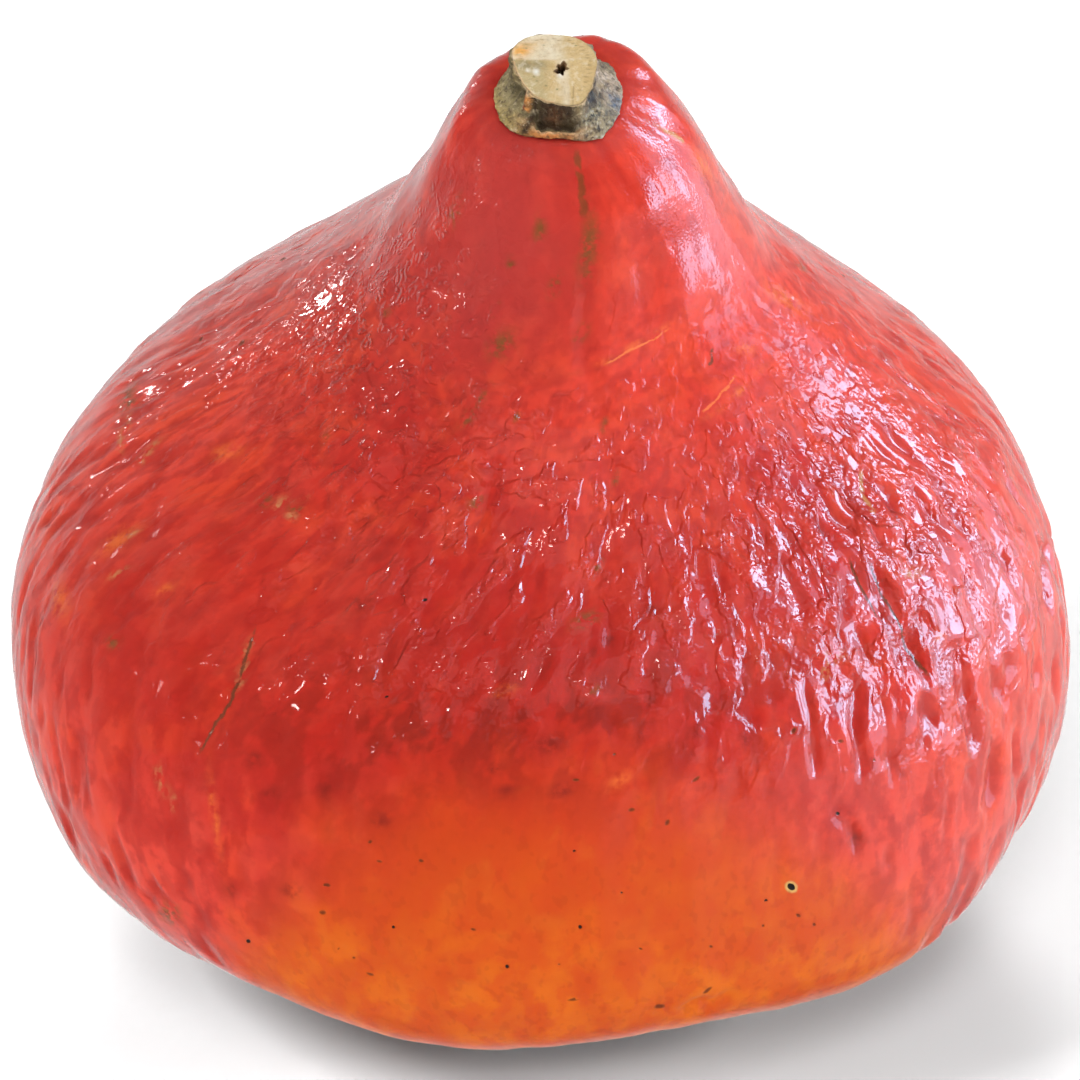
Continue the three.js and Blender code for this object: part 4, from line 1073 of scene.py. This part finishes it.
def combine(op, a, b):
    n = wt.nodes.new("ShaderNodeMath")
    n.operation = op
    for i, v in enumerate((a, b)):
        if isinstance(v, float):
            n.inputs[i].default_value = v
        else:
            wt.links.new(v, n.inputs[i])
    return n.outputs[0]


# In reflections the room is dim, and the lit floor is seen below the horizon, behind and to the right.
sides = combine("MAXIMUM", eased(split.outputs["Y"], 0.15, 0.75, 0.0, 0.55), eased(split.outputs["X"], 0.30, 0.75, 0.0, 0.8))
below = combine("MULTIPLY", sides, eased(split.outputs["Z"], 0.25, -0.12, 0.0, 1.0))
glow = combine("ADD", combine("MULTIPLY", eased(split.outputs["Y"], 0.3, 0.9, 0.0, 0.20), eased(split.outputs["Z"], 0.75, 0.2, 0.0, 1.0)), 0.04)
room = combine("ADD", below, glow)
level = wt.nodes.new("ShaderNodeMapRange")
for i, v in ((1, 0.0), (2, 1.0), (3, 0.88)):
    level.inputs[i].default_value = v
wt.links.new(paths.outputs["Is Glossy Ray"], level.inputs[0])
wt.links.new(room, level.inputs[4])
wt.links.new(level.outputs[0], wt.nodes["Background"].inputs[1])
wt.nodes["Background"].inputs[0].default_value = (1, 1, 1, 1)


def area(name, at, aim, size, radiance, colour=(1, 1, 1), diffuse=True, glossy=True):
    """A rectangular soft light of that radiance, facing aim."""
    w, h = size
    data = bpy.data.lights.new(name, "AREA")
    data.shape = "RECTANGLE"
    data.size, data.size_y = w, h
    data.energy = radiance * math.pi * w * h
    data.color = colour
    ob = bpy.data.objects.new(name, data)
    ob.location = at
    ob.rotation_euler = (Vector(aim) - Vector(at)).to_track_quat("-Z", "Y").to_euler()
    ob.visible_diffuse = diffuse
    ob.visible_glossy = glossy
    bpy.context.scene.collection.objects.link(ob)
    return ob


def on_dir(az, el, dist, about=(0, 0, 0.075)):
    a, e = math.radians(az), math.radians(el)
    return tuple(Vector(about) + dist * Vector((math.cos(a) * math.cos(e), math.sin(a) * math.cos(e), math.sin(e))))


def only_on(light, pieces, name):
    c = bpy.data.collections.new(name)
    for piece in pieces:
        c.objects.link(piece)
    light.light_linking.receiver_collection = c


floor.visible_glossy = False


def pane(name, x, y0, y1, z0, z1, radiance, colour=(0.58, 0.74, 1.0)):
    """One pane of the window on the +X side; it only shows as a reflection."""
    at = (x, (y0 + y1) / 2, (z0 + z1) / 2)
    data_size = (y1 - y0, z1 - z0)
    ob = area(name, at, (at[0] - 1, at[1], at[2]), data_size, radiance, colour, diffuse=False)
    return ob


LILAC = (0.36, 0.70, 1.0)
pane("window", 0.60, -0.27, 0.36, -0.06, 0.72, 3.0, LILAC)
pane("window_a", 0.59, -0.22, -0.10, 0.05, 0.45, 16.0, LILAC)
pane("window_b", 0.59, -0.03, 0.10, 0.05, 0.45, 16.0, LILAC)
pane("window_c", 0.59, 0.12, 0.33, 0.46, 0.88, 24.0, LILAC)
pane("window_top", 0.60, -0.05, 0.30, 0.94, 1.20, 3.5, LILAC)
area("ceiling", on_dir(-60, 68, 1.3), (0, 0, 0.1), (1.1, 0.7), 0.50, (1.0, 0.90, 0.88), diffuse=False)
area("lamp", on_dir(-75, 77, 1.3), (0, 0, 0.1), (0.055, 0.055), 45.0, (1.0, 0.95, 0.92), diffuse=False)
key = area("key", on_dir(-10, 40, 1.6), (0, 0, 0.07), (1.3, 1.1), 2.0, (1.0, 0.985, 0.97), glossy=False)
fill = area("fill", on_dir(188, 20, 1.4), (0, 0, 0.07), (1.0, 0.9), 0.36, glossy=False)
area("sparkle_a", on_dir(132, 17, 1.3), (0, 0, 0.1), (0.105, 0.075), 42.0, (1, 0.97, 0.95), diffuse=False)
area("sparkle_b", on_dir(-166, 14, 1.3), (0, 0, 0.1), (0.100, 0.080), 60.0, (1, 0.95, 0.92), diffuse=False)
area("sparkle_c", on_dir(-172, 50, 1.3), (0, 0, 0.1), (0.070, 0.060), 60.0, (1, 0.95, 0.92), diffuse=False)
area("sparkle_d", on_dir(-146, 45, 1.3), (0, 0, 0.1), (0.050, 0.050), 60.0, (1, 0.95, 0.92), diffuse=False)
washes = [area("floor_wash_%d" % i, on_dir(az, el, 1.7, (0, 0, 0)), (0, 0, 0), (0.5, 0.5), level)
          for i, (az, el, level) in enumerate([(90, 28, 237.0), (210, 28, 57.0), (330, 28, 179.0), (210, 45, 229.0), (270, 45, 131.0)])]
for ob in washes:
    only_on(ob, [floor], ob.name + "_on")
for ob in (key, fill):
    only_on(ob, [fruit, stem], ob.name + "_on")
for o in bpy.context.scene.objects:
    if o.type == "LIGHT":
        o.visible_camera = False

cam_data = bpy.data.cameras.new("camera")
cam_data.sensor_width = 36
cam_data.lens = 4456.85 / 1080 * 36
cam = bpy.data.objects.new("camera", cam_data)
elev = math.radians(28)
look = Vector((0, math.cos(elev), -math.sin(elev)))
target = Vector((-0.00084, -0.00084, 0.06592))
cam.location = target - look * 0.6937
cam.rotation_euler = look.to_track_quat("-Z", "Y").to_euler()
bpy.context.scene.collection.objects.link(cam)
bpy.context.scene.camera = cam

sc = bpy.context.scene
sc.view_settings.view_transform = "Standard"
sc.cycles.use_denoising = True
sc.cycles.denoising_prefilter = "FAST"
sc.cycles.adaptive_threshold = 0.06
sc.cycles.adaptive_min_samples = 12
sc.cycles.max_bounces = 4
sc.cycles.diffuse_bounces = 2
sc.cycles.glossy_bounces = 2
